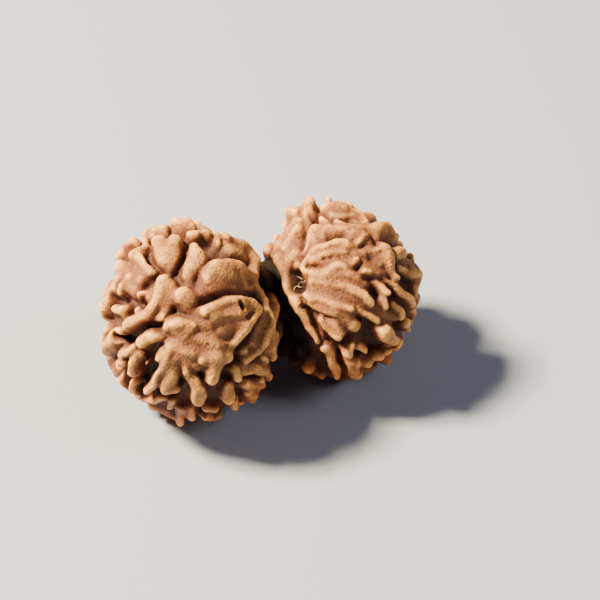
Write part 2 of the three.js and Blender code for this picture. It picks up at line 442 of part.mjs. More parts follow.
// Knobs of the side that is turned away, in rows round the pole, each leaning off its meridian,
// one in three forked
function farKnobs(bead) {
  const pole = fromFront(...bead.pole).normalize();
  const across = new THREE.Vector3().crossVectors(pole, frontOut).normalize();
  const along = new THREE.Vector3().crossVectors(pole, across);
  const size = (bead.radii.x + bead.radii.y + bead.radii.z) / 3 + 1;
  const direction = (fall, turn) => pole.clone().multiplyScalar(Math.cos(fall))
    .addScaledVector(across, Math.sin(fall) * Math.cos(turn))
    .addScaledVector(along, Math.sin(fall) * Math.sin(turn));
  const knobs = [];
  const rows = Math.floor((Math.PI * size) / ROW_STEP);
  for (let row = 1; row < rows; row += 1) {
    const ring = (row * ROW_STEP) / size;
    const count = Math.max(3, Math.round((2 * Math.PI * size * Math.sin(ring)) / ROW_PITCH));
    for (let place = 0; place < count; place += 1) {
      const seed = bead.seed + 40 * row + place;
      const fall = ring + ((draw(seed) - 0.5) * ROW_SCATTER) / size;
      const step = place + 0.5 * (row % 2) + ROW_SCATTER * draw(seed + 0.2);
      const turn = (2 * Math.PI * step) / count;
      const girth = size * Math.sin(fall);
      const line = (turn * MOUTH_LINES) / (2 * Math.PI);
      const offLine = (Math.abs(line - Math.round(line)) * 2 * Math.PI * girth) / MOUTH_LINES;
      const middle = pointTowards(bead, direction(fall, turn), 1);
      const hidden = direction(fall, turn).dot(frontOut) < FAR_SIDE_LIMIT;
      const clear = (SEAM - middle.x) * bead.side > SEAM_CLEARANCE;
      if (!hidden || !clear || offLine < MOUTH_LINE_HALF_WIDTH) continue;
      const lean = drawBetween(FAR_KNOB.lean, seed + 0.4);
      const length = drawBetween(FAR_KNOB.length, seed + 0.6);
      const radius = drawBetween(FAR_KNOB.radius, seed + 0.8);
      const [rootHeight, crestHeight, tipHeight] = FAR_KNOB.heights;
      const tip = (angle, height) => pointTowards(
        bead,
        direction(fall + (length * Math.cos(angle)) / size, turn + (length * Math.sin(angle)) / girth),
        height,
      );
      const rootFall = fall - FAR_KNOB.rootBack / size;
      const rootPoint = pointTowards(bead, direction(rootFall, turn), rootHeight);
      const crestFall = fall + FAR_KNOB.crestForward / size;
      const crestPoint = pointTowards(bead, direction(crestFall, turn), crestHeight);
      knobs.push(knob(bead, [
        [rootPoint, radius],
        [crestPoint, radius],
        [tip(lean, tipHeight), radius * FAR_KNOB.tipShare],
      ]));
      if (draw(seed + 0.9) < FORK.share) {
        const forkLean = lean - Math.sign(lean) * FORK.turn;
        const forkTip = tip(forkLean, FORK.height);
        knobs.push(knob(bead, [[crestPoint, radius], [forkTip, radius * FORK.tipShare]]));
      }
    }
  }
  return knobs;
}

function feet(bead, places) {
  return places.map(([x, y]) => {
    const tip = new THREE.Vector3(x, y, FOOT_HEIGHT);
    return knob(bead, [[tip.clone().lerp(bead.centre, FOOT_LENGTH), FOOT_RADIUS], [tip, FOOT_RADIUS]]);
  });
}

// A slow swell that keeps every knob from being quite straight or quite round
function swell(point) {
  const { x, y, z } = point;
  const result = point.clone();
  SWELLS.forEach(([height, length], order) => {
    const f = (2 * Math.PI) / length;
    [[x, y, z], [y, z, x], [z, x, y]].forEach(([a, b, c], axis) => {
      const wave = Math.sin(f * (0.8 * b + 0.6 * c) + 1.7 * axis + order)
        * Math.cos(f * (0.9 * a - 0.45 * c) + 2.1 * axis);
      result.setComponent(axis, result.getComponent(axis) + height * wave);
    });
  });
  return result;
}

function smoothMinimum(a, b, blend) {
  const share = THREE.MathUtils.clamp(0.5 + (0.5 * (b - a)) / blend, 0, 1);
  return b + (a - b) * share - blend * share * (1 - share);
}

// Signed distance to an ellipsoid, close enough near its surface
function ellipsoidDistance(point, centre, radii) {
  const offset = point.clone().sub(centre).divide(radii);
  const k0 = offset.length();
  const k1 = offset.divide(radii).length() + 1e-9;
  return (k0 * (k0 - 1)) / k1;
}

const crest = new THREE.Vector3();
const upward = new THREE.Vector3();
const offset = new THREE.Vector3();

// Signed distance to the stretch of a knob between two of its points. Its flanks spread towards the
// bead's centre, or those of a hollow away from it, where way is -1
function stretchDistance(point, from, to, centre, way) {
  crest.subVectors(to.place, from.place);
  const span = Math.max(crest.lengthSq(), 1e-9);
  const t = THREE.MathUtils.clamp(offset.subVectors(point, from.place).dot(crest) / span, 0, 1);
  crest.multiplyScalar(t).add(from.place);
  upward.subVectors(crest, centre).normalize();
  offset.subVectors(point, crest);
  const height = way * offset.dot(upward);
  const aside = Math.sqrt(Math.max(0, offset.lengthSq() - height * height));
  const radius = from.radius + (to.radius - from.radius) * t;
  if (height > 0) return Math.hypot(aside, height) - radius;
  return (aside + FLANK_SPREAD * height) / Math.hypot(1, FLANK_SPREAD) - radius;
}

const large = {
  centre: new THREE.Vector3(...LARGE_CENTRE),
  radii: new THREE.Vector3(...LARGE_RADII),
  pole: LARGE_POLE,
  view: LARGE_VIEW,
  side: 1,
  seed: 0,
};
const small = {
  centre: new THREE.Vector3(...SMALL_CENTRE),
  radii: new THREE.Vector3(...SMALL_RADII),
  pole: SMALL_POLE,
  view: SMALL_VIEW,
  side: -1,
  seed: 1000,
};
const bridge = { centre: new THREE.Vector3(...BRIDGE_CENTRE), radii: new THREE.Vector3(...BRIDGE_RADII) };
const allKnobs = [
  ...drawnKnobs(large, LARGE_KNOBS),
  ...drawnKnobs(small, SMALL_KNOBS),
  ...farKnobs(large),
  ...farKnobs(small),
  ...feet(large, LARGE_FEET),
  ...feet(small, SMALL_FEET),
];
const allHollows = [
  ...drawnKnobs(large, LARGE_HOLLOWS, SLIMMEST_HOLLOW),
  ...drawnKnobs(small, SMALL_HOLLOWS, SLIMMEST_HOLLOW),
];

// Signed distance to knobs, or to hollows where way is -1, that run into each other softly
function drawnDistance(point, lines, way) {
  let total = 0;
  for (const { centre, points, middle, reach } of lines) {
    if (middle.distanceToSquared(point) > reach * reach) continue;
    let nearest = Infinity;
    for (let i = 1; i < Math.max(points.length, 2); i += 1) {
      const to = points[i] ?? points[0];
      nearest = Math.min(nearest, stretchDistance(point, points[i - 1], to, centre, way));
    }
    total += Math.exp(-nearest / KNOB_BLEND);
  }
  return Math.min(-KNOB_BLEND * Math.log(total + 1e-12), FAR_AWAY);
}

// Signed distance to the stone: the valley floors with the knobs grown out of them, less the hollows
function stoneDistance(place) {
  const point = swell(place);
  const crests = drawnDistance(point, allKnobs, 1);
  const [inLarge, inSmall, inBridge] = [large, small, bridge].map(
    ({ centre, radii }) => ellipsoidDistance(point, centre, radii),
  );
  const floor = smoothMinimum(Math.min(inLarge, inSmall), inBridge, BRIDGE_BLEND);
  const solid = smoothMinimum(crests, floor, ROOT_BLEND);
  return -smoothMinimum(-solid, drawnDistance(point, allHollows, -1), HOLLOW_BLEND);
}

// A cell of the grid: its corners 0 to 7 as bits for x, y and z, its edges, and the corners round each face
const CELL_CORNERS = [0, 1, 2, 3, 4, 5, 6, 7];
const CELL_EDGES = CELL_CORNERS.flatMap((corner) => [1, 2, 4]
  .filter((bit) => !(corner & bit))
  .map((bit) => [corner, corner | bit]));
const CELL_FACES = [[1, 2, 4], [2, 4, 1], [4, 1, 2]].flatMap(([side, lift, through]) => [0, through]
  .map((from) => [from, from | side, from | side | lift, from | lift]));
const edgeBetween = (a, b) => CELL_EDGES.findIndex(([from, to]) => from === (a & b) && to === (a | b));

// The crossed edges of a cell in groups, one for each sheet of the surface that passes through it
function sheetsOf(isInside) {
  const crossed = CELL_EDGES.map(([from, to]) => isInside[from] !== isInside[to]);
  const sheet = CELL_EDGES.map((_, edge) => edge);
  const join = (a, b) => {
    const [kept, gone] = [sheet[a], sheet[b]];
    sheet.forEach((label, edge) => {
      if (label === gone) sheet[edge] = kept;
    });
  };
  for (const face of CELL_FACES) {
    const edges = face.map((corner, k) => edgeBetween(corner, face[(k + 1) % 4]));
    const cut = edges.filter((edge) => crossed[edge]);
    if (cut.length === 2) join(...cut);
    if (cut.length === 4) {
      face.forEach((corner, k) => isInside[corner] && join(edges[k], edges[(k + 3) % 4]));
    }
  }
  return sheet.map((label, edge) => (crossed[edge] ? label : -1));
}

// The mean of the distances at four places round a point, so that no facet stands on a sliver of a knob
function meanDistance(place) {
  const around = [[1, 1, 1], [1, -1, -1], [-1, 1, -1], [-1, -1, 1]];
  const distances = around.map(
    (corner) => stoneDistance(new THREE.Vector3(...corner).multiplyScalar(EVENING * CELL).add(place)),
  );
  return distances.reduce((sum, distance) => sum + distance, 0) / around.length - MADE_UP;
}

// The corners of the facets after each has been drawn towards the middle of its neighbours and back
function faired(corners, facets) {
  const neighbours = corners.map(() => new Set());
  for (let i = 0; i < facets.length; i += 3) {
    const facet = facets.slice(i, i + 3);
    facet.forEach((corner, k) => neighbours[corner].add(facet[(k + 1) % 3]).add(facet[(k + 2) % 3]));
  }
  let places = corners;
  for (const share of FAIRING) {
    places = places.map((place, i) => {
      const middle = new THREE.Vector3();
      neighbours[i].forEach((j) => middle.addScaledVector(places[j], 1 / neighbours[i].size));
      return place.clone().lerp(middle, share);
    });
  }
  return places;
}

// The surface as a net: a corner for every sheet in a cell, a facet pair across every edge of the grid
// that the surface crosses
function netGeometry() {
  const counts = GRID_LOW.map((low, axis) => Math.ceil((GRID_HIGH[axis] - low) / CELL) + 1);
  const strides = [1, counts[0], counts[0] * counts[1]];
  const total = counts[0] * counts[1] * counts[2];
  const stepsOf = (index) => strides.map((stride, axis) => Math.floor(index / stride) % counts[axis]);
  const placeOf = (index) => new THREE.Vector3(
    ...stepsOf(index).map((step, axis) => GRID_LOW[axis] + CELL * step),
  );
  const distances = Array.from({ length: total }, (_, index) => meanDistance(placeOf(index)));
  const offsets = CELL_CORNERS.map(
    (corner) => [0, 1, 2].reduce((sum, axis) => sum + ((corner >> axis) & 1) * strides[axis], 0),
  );

  const corners = [];
  const cornersOfCell = new Map();
  const addCorners = (cell) => {
    const sheets = sheetsOf(offsets.map((step) => distances[cell + step] < 0));
    const places = new Map();
    CELL_EDGES.forEach(([from, to], edge) => {
      if (sheets[edge] < 0) return;
      const [near, far] = [cell + offsets[from], cell + offsets[to]];
      const share = distances[near] / (distances[near] - distances[far]);
      const crossings = places.get(sheets[edge]) ?? [];
      places.set(sheets[edge], [...crossings, placeOf(near).lerp(placeOf(far), share)]);
    });
    const numbers = new Map();
    for (const [sheet, crossings] of places) {
      const middle = crossings.reduce((sum, place) => sum.add(place), new THREE.Vector3());
      numbers.set(sheet, corners.length);
      corners.push(middle.divideScalar(crossings.length));
    }
    cornersOfCell.set(cell, sheets.map((sheet) => numbers.get(sheet)));
  };
  const cornerAt = (cell, from, to) => {
    if (!cornersOfCell.has(cell)) addCorners(cell);
    return cornersOfCell.get(cell)[edgeBetween(from, to)];
  };

  const facets = [];
  for (let index = 0; index < total; index += 1) {
    const steps = stepsOf(index);
    const inside = distances[index] < 0;
    for (let axis = 0; axis < 3; axis += 1) {
      const [side, lift] = [(axis + 1) % 3, (axis + 2) % 3];
      if (steps[axis] + 1 >= counts[axis] || steps[side] === 0 || steps[lift] === 0) continue;
      if (inside === (distances[index + strides[axis]] < 0)) continue;
      const around = [0, 1 << side, (1 << side) | (1 << lift), 1 << lift]
        .map((corner) => cornerAt(index - offsets[corner], corner, corner | (1 << axis)));
      const [a, b, c, d] = inside ? around : around.reverse();
      const isShort = corners[a].distanceToSquared(corners[c]) < corners[b].distanceToSquared(corners[d]);
      facets.push(...(isShort ? [a, b, c, a, c, d] : [a, b, d, b, c, d]));
    }
  }

  const geometry = new THREE.BufferGeometry().setFromPoints(faired(corners, facets));
  geometry.setIndex(facets);
  return geometry;
}

const wasm = await Module();
wasm.setup();

function solidOf(geometry) {
  const { array } = geometry.getAttribute("position");
  return new wasm.Manifold(new wasm.Mesh({
    numProp: 3,
    vertProperties: new Float32Array(array),
    triVerts: new Uint32Array(geometry.index.array),
  }));
}

function geometryOf(solid) {
  const { vertProperties, triVerts } = solid.getMesh();
  const geometry = new THREE.BufferGeometry();
  geometry.setAttribute("position", new THREE.BufferAttribute(vertProperties, 3));
  geometry.setIndex(new THREE.BufferAttribute(triVerts, 1));
  geometry.computeVertexNormals();
  return geometry;
}

// The table takes off the last few tenths of a millimetre of the feet, which leaves small flats
const TABLE = [60, 40, 5];
const table = new THREE.BoxGeometry(...TABLE).translate(0, 0, -TABLE[2] / 2);
table.deleteAttribute("normal");
table.deleteAttribute("uv");

// Specks that the grid has cut off from the stone are left out
const [stone] = solidOf(netGeometry())
  .subtract(solidOf(mergeVertices(table)))
  .decompose()
  .sort((one, other) => other.volume() - one.volume());

const seedStone = new THREE.Mesh(
  geometryOf(stone),
  new THREE.MeshStandardMaterial({ color: 0xa9744f, roughness: 0.75, metalness: 0 }),
);
seedStone.name = "rudraksha_stone";

const rudraksha = new THREE.Group();
rudraksha.add(seedStone);

export default rudraksha;
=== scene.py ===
# A natural twin rudraksha: two stones of one fruit that grew together side by side.
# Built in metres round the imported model, larger bead towards -X, lying on the table at z = 0.

import math

import bpy
import numpy as np
import openvdb
from mathutils import Matrix, Vector


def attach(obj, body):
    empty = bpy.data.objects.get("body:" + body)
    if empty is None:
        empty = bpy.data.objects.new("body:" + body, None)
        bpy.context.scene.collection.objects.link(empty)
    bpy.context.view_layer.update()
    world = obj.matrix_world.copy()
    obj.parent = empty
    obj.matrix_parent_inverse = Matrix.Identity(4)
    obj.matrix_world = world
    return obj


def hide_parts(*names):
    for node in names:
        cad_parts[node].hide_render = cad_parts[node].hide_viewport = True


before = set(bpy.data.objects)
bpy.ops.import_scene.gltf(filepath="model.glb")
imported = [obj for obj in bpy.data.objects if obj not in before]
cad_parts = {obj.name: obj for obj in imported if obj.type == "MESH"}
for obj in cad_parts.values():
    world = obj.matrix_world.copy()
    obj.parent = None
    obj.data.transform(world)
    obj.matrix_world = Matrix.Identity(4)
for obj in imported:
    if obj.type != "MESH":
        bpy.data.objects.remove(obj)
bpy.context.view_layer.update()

# Stone
# The fruit's stone is one piece of hard wood: two flattened balls joined by a bridge deep in the seam.
# Knobs radiate from each pole and lean away from it, with deep valleys between them. Handling has worn
# their crests pale, and the pale crests also carry a painted highlight. The flanks are rosy brown, darker
# low down as painted shade, and the valleys keep dark dust with painted shade over it. Sizes are in
# millimetres, and the meshes are scaled to metres at the end.
MILLIMETRE = 0.001

# The floor of the valleys of each bead, the pole its knobs radiate from and the direction its worn side
# is seen from, both as right, up and out of the front
LARGE = {
    "centre": (-7.56, 0, 10.2),
    "radii": (7.3, 8.5, 8.5),
    "pole": (0.74, 0.33, 0.58),
    "view": (0.055, 0.011, 1),
    "side": 1,
    "seed": 0,
}
SMALL = {
    "centre": (8.34, 0, 9.3),
    "radii": (6.7, 7.65, 7.65),
    "pole": (-0.44, 0.07, 0.89),
    "view": (-0.019, -0.004, 1),
    "side": -1,
    "seed": 1000,
}
BRIDGE = {"centre": (0.84, 1.2, 9.4), "radii": (2.4, 3.8, 4.2)}

# How softly the beads, the knobs and the hollows run into each other
BRIDGE_BLEND = 0.9
KNOB_BLEND = 0.12
ROOT_BLEND = 0.5
HOLLOW_BLEND = 0.3
PAD_BLEND = 0.4
PIT_BLEND = 0.15

# How far the flanks of a knob spread, and the height and length of the swells that bend the knobs
FLANK_SPREAD = 0.22
SWELLS = ((0.16, 3.6), (0.03, 1.5))

# The front: turned to the left and looked down upon
FRONT_TURN = math.radians(-20.5)
FRONT_LIFT = math.radians(42)

# Knobs of the larger bead's worn side. Each is a crest through points of (right, up, height, radius),
# seen from the front: right and up of the bead's centre, height over the valley floor
LARGE_KNOBS = [
    # upper limb from the left
    [(-6.85, 6.55, 1.4, 0.6), (-6.25, 7.45, 1.4, 0.6), (-5.45, 8.1, 1.5, 0.4)],
    [(-3.6, 8.5, 1.35, 0.4), (-4.2, 8.5, 1.4, 0.42), (-4.45, 8.0, 1.4, 0.33), (-4.45, 7.4, 1.2, 0.3)],
    [(-4.6, 8.9, 1.3, 0.5)],
    [(-4.4, 7.2, 1.1, 0.35), (-4.9, 6.8, 1.3, 0.58), (-5.3, 6.55, 1.35, 0.58)],
    [(-4.75, 6.2, 1.15, 0.7), (-4.3, 5.4, 1.0, 0.65), (-3.7, 4.75, 0.85, 0.5)],
    # heart-shaped lobe
    [(-3.0, 7.65, 1.15, 0.9), (-2.2, 6.0, 0.95, 0.95), (-1.85, 4.9, 0.5, 0.65)],
    [(-1.5, 7.65, 1.15, 0.92), (-2.0, 6.0, 0.95, 0.9)],
    # behind it
    [(-3.35, 9.0, 1.6, 0.5), (-2.7, 9.15, 1.6, 0.52)],
    [(-1.25, 9.6, 1.6, 0.6), (-0.2, 9.7, 1.7, 0.62), (0.2, 9.3, 1.4, 0.5)],
    [(0.2, 8.4, 1.3, 0.58), (1.5, 8.6, 1.5, 0.68)],
    [(2.55, 8.4, 1.35, 0.48), (2.6, 7.6, 1.1, 0.45)],
    # broad upper right ridge
    [
        (3.4, 8.1, 1.35, 0.7), (4.65, 7.5, 1.3, 0.8), (5.6, 6.8, 1.25, 0.85), (6.15, 5.9, 1.2, 0.8),
        (6.3, 5.1, 1.1, 0.62), (6.2, 4.3, 1.0, 0.5),
    ],
    [(3.1, 8.65, 1.4, 0.35), (4.1, 8.65, 1.4, 0.35)],
    [(3.65, 7.0, 0.85, 0.8), (5.0, 6.4, 0.85, 0.8)],
    # largest lobe under it
    [
        (1.7, 4.35, 1.2, 0.7), (2.4, 5.05, 1.25, 0.9), (3.6, 5.3, 1.3, 0.95), (4.8, 4.9, 1.15, 0.9),
        (5.7, 4.2, 0.95, 0.7),
    ],
    [(2.2, 4.2, 1.15, 0.6), (3.6, 4.3, 1.15, 0.7), (4.8, 4.1, 0.95, 0.6)],
    [(2.0, 3.15, 0.7, 0.6), (4.0, 3.15, 0.75, 0.6), (5.6, 3.2, 0.7, 0.6)],
    [(6.05, 3.75, 1.0, 0.6), (6.6, 2.9, 0.95, 0.55), (6.9, 2.1, 1.0, 0.55)],
    # cone left of it
    [(0.45, 7.0, 1.3, 0.65), (0.65, 6.2, 1.15, 0.95), (0.35, 5.2, 0.95, 0.95), (-0.1, 4.2, 0.7, 0.7)],
    # plateau right of the middle
    [
        (1.35, 0.95, 1.4, 0.45), (2.5, 1.45, 1.35, 0.5), (3.7, 1.95, 1.3, 0.5), (4.85, 2.0, 1.25, 0.55),
        (5.9, 1.75, 1.2, 0.6),
    ],
    [(2.4, 0.55, 0.85, 0.9), (4.3, 0.85, 0.9, 0.9), (5.3, 1.0, 0.95, 0.6)],
    [(3.05, -0.6, 0.75, 0.9), (4.75, -0.3, 0.85, 0.8)],
    [(1.7, -0.4, 0.7, 0.7), (2.1, -1.15, 0.6, 0.7)],
    [
        (6.4, 1.25, 1.3, 0.5), (5.9, 0.4, 1.35, 0.5), (5.35, -0.55, 1.35, 0.55),
        (4.75, -1.35, 1.4, 0.5), (4.3, -1.9, 1.45, 0.35),
    ],
    # strips towards the seam
    [
        (7.2, 1.8, 1.2, 0.6), (7.35, 0.9, 1.3, 0.8), (7.4, -0.4, 1.3, 0.85), (7.1, -1.7, 1.25, 0.78),
        (6.5, -2.85, 1.1, 0.55),
    ],
    [(8.9, 1.65, 1.4, 0.4), (9.0, 0, 1.4, 0.4), (8.9, -1.3, 1.4, 0.36)],
    [(7.7, 5.4, 1.35, 0.42), (8.05, 4.0, 1.35, 0.42), (8.4, 2.6, 1.4, 0.4)],
    [(6.6, -2.35, 1.1, 0.45), (6.0, -3.2, 1.2, 0.5), (5.45, -3.75, 1.3, 0.42)],
    [(5.8, -2.05, 1.0, 0.4), (5.2, -2.8, 1.0, 0.4)],
    [(7.1, -3.5, 1.3, 0.4), (7.45, -3.9, 1.3, 0.4)],
    [(7.8, -2.75, 1.3, 0.45), (8.2, -3.45, 1.4, 0.45)],
    # lower right
    [(4.85, -4.45, 0.9, 0.6), (6.3, -4.5, 1.1, 0.5), (7.4, -4.8, 1.35, 0.45), (7.95, -5.55, 1.5, 0.4)],
    [(5.35, -6.05, 1.0, 0.6), (6.55, -6.3, 1.3, 0.5), (7.1, -6.35, 1.4, 0.4)],
    [(7.0, -5.7, 1.5, 0.3), (7.3, -6.4, 1.5, 0.3)],
    [(5.9, -6.8, 1.2, 0.5), (6.15, -7.5, 1.4, 0.7)],
    [(4.4, -7.6, 1.0, 0.4), (4.5, -8.4, 1.2, 0.4)],
    [(5.2, -7.85, 1.0, 0.35), (5.25, -8.45, 1.1, 0.35)],
    [(3.7, -6.1, 1.0, 0.6), (3.75, -7.4, 1.3, 0.58)],
    [(4.2, -4.6, 1.1, 0.45), (4.6, -5.4, 1.4, 0.4)],
    # lobed knob low in the middle
    [(2.5, -2.85, 0.7, 0.8), (2.5, -3.8, 1.1, 0.8), (2.3, -4.75, 1.35, 0.62), (2.2, -5.5, 1.55, 0.48)],
    [(1.9, -3.6, 1.2, 0.5), (1.35, -3.7, 1.35, 0.42)],
    [(3.05, -3.4, 1.2, 0.55), (3.65, -3.4, 1.35, 0.45)],
    [(1.2, -1.7, 0.6, 0.9), (2.4, -2.0, 0.6, 0.9), (3.6, -2.2, 0.5, 0.8)],
    [(-1.2, -2.2, 0.7, 0.9), (0.2, -2.8, 0.6, 0.9), (1.3, -2.8, 0.7, 0.6)],
    [(-0.9, -3.3, 0.7, 0.75), (0.7, -4.0, 0.5, 0.8)],
    [(0.1, -5.2, 0.9, 0.6), (0.75, -6.3, 1.2, 0.75), (0.85, -7.1, 1.3, 0.8), (0.75, -7.65, 1.35, 0.68)],
    [(-0.55, -3.85, 0.9, 0.45), (-0.3, -4.9, 1.3, 0.38)],
    # bottom row
    [(-0.85, -8.3, 0.9, 0.5), (-1.0, -9.85, 1.6, 0.46)],
    [(0, -8.2, 0.8, 0.52), (0.1, -9.25, 1.2, 0.52)],
    [(-1.75, -7.6, 1.0, 0.4), (-1.9, -8.4, 1.1, 0.38)],
    [(1.5, -9.25, 1.1, 0.45), (2.2, -9.4, 1.1, 0.45), (2.75, -9.25, 1.1, 0.42)],
    [(1.6, -8.4, 1.0, 0.42), (2.4, -8.5, 1.0, 0.42)],
    # long ridge low left
    [
        (-1.95, -2.4, 1.2, 0.5), (-2.3, -3.45, 1.3, 0.48), (-2.6, -4.5, 1.3, 0.5),
        (-3.4, -5.6, 1.3, 0.55), (-4.2, -6.5, 1.3, 0.6),
    ],
    [(-1.55, -3.6, 0.8, 0.75), (-1.75, -4.75, 0.95, 0.8), (-2.1, -6.1, 1.0, 0.8)],
    [(-1.5, -6.45, 1.1, 0.48)],
    [(-4.65, -7.5, 1.2, 0.35), (-3.45, -7.65, 1.2, 0.4), (-2.65, -7.45, 1.2, 0.35)],
    [(-2.7, -2.9, 1.3, 0.33), (-3.4, -3.75, 1.6, 0.22)],
    [(-4.3, -4.1, 1.0, 0.25), (-4.1, -4.8, 1.0, 0.25)],
    [(-5.0, -5.3, 1.5, 0.25), (-5.45, -6.0, 1.5, 0.27), (-5.75, -6.6, 1.5, 0.27)],
    [(-6.75, -5.6, 1.3, 0.45), (-6.1, -6.5, 1.2, 0.5), (-5.4, -6.8, 1.2, 0.45)],
    [(-4.8, -3.1, 0.9, 0.45), (-5.6, -3.85, 1.3, 0.43), (-5.7, -4.95, 1.4, 0.46)],
    [(-6.95, -4.0, 1.4, 0.4), (-6.5, -3.9, 1.3, 0.4)],
    [(-7.0, -4.6, 1.2, 0.35)],
    [(-5.4, -2.5, 1.2, 0.4), (-6.1, -2.9, 1.3, 0.4), (-6.8, -3.3, 1.4, 0.36)],
    [(-2.5, -1.35, 0.7, 0.5), (-3.6, -1.5, 1.25, 0.66), (-4.75, -1.95, 1.4, 0.58)],
    # left flank
    [
        (-6.7, -0.7, 1.4, 0.4), (-7.3, -1.4, 1.3, 0.6), (-7.9, -2.4, 1.3, 0.78),
        (-8.1, -2.75, 1.25, 0.72),
    ],
    [(-6.5, -1.6, 0.8, 0.55), (-7.3, -2.2, 1.1, 0.65)],
    [(-8.2, -0.8, 1.4, 0.3), (-8.3, -1.6, 1.4, 0.3)],
    [
        (-2.55, 3.7, 1.1, 0.78), (-2.95, 2.5, 1.2, 0.72), (-3.35, 1.55, 1.2, 0.62),
        (-4.1, 0.65, 1.25, 0.52), (-5.1, 0.2, 1.35, 0.48), (-6.1, -0.4, 1.5, 0.4),
    ],
    [(-1.75, 3.4, 0.8, 0.6), (-1.8, 2.2, 0.7, 0.65), (-2.3, 1.0, 0.75, 0.6)],
    [(-5.1, 1.15, 1.4, 0.3), (-4.6, 1.7, 1.3, 0.28), (-3.9, 2.4, 1.1, 0.28), (-3.5, 3.05, 0.9, 0.3)],
    [(-5.0, 2.6, 1.3, 0.25), (-4.2, 2.75, 1.0, 0.25)],
    [(-3.25, 0.4, 0.8, 0.28), (-2.7, 0.45, 1.3, 0.3)],
    [(-6.7, 5.5, 1.35, 0.5), (-7.0, 4.3, 1.4, 0.5), (-7.3, 3.15, 1.4, 0.5), (-8.0, 2.15, 1.4, 0.5)],
    [(-6.0, 4.9, 0.6, 0.9), (-5.6, 3.8, 0.6, 0.9), (-5.0, 3.0, 0.5, 0.8)],
    [(-5.0, 5.0, 0.6, 0.7), (-4.4, 4.0, 0.5, 0.8)],
    [(-6.6, 3.5, 1.4, 0.35), (-6.75, 2.75, 1.3, 0.35)],
    [(-5.85, 4.25, 1.3, 0.4)],
    [(-7.15, 1.25, 1.3, 0.5), (-6.4, 1.15, 1.2, 0.62), (-6.0, 0.6, 0.8, 0.5)],
    [(-8.45, 1.55, 1.35, 0.5), (-8.5, 0.4, 1.3, 0.4), (-8.2, -0.3, 1.2, 0.33)],
    # middle
    [(-0.7, 2.5, 1.15, 0.72), (0.2, 2.1, 0.8, 0.68), (0, 1.3, 0.5, 0.7)],
    [(-2.0, -0.3, 1.35, 0.48), (-1.15, -0.1, 1.2, 0.6), (-0.2, -0.3, 1.0, 0.58)],
    [(-1.35, -0.85, 0.95, 0.5), (-0.55, -1.15, 0.7, 0.5)],
    [(0.3, -0.4, 1.4, 0.28)],
    [(0.6, 0.6, 0.3, 0.8), (1.0, -0.4, 0.3, 0.8)],
]

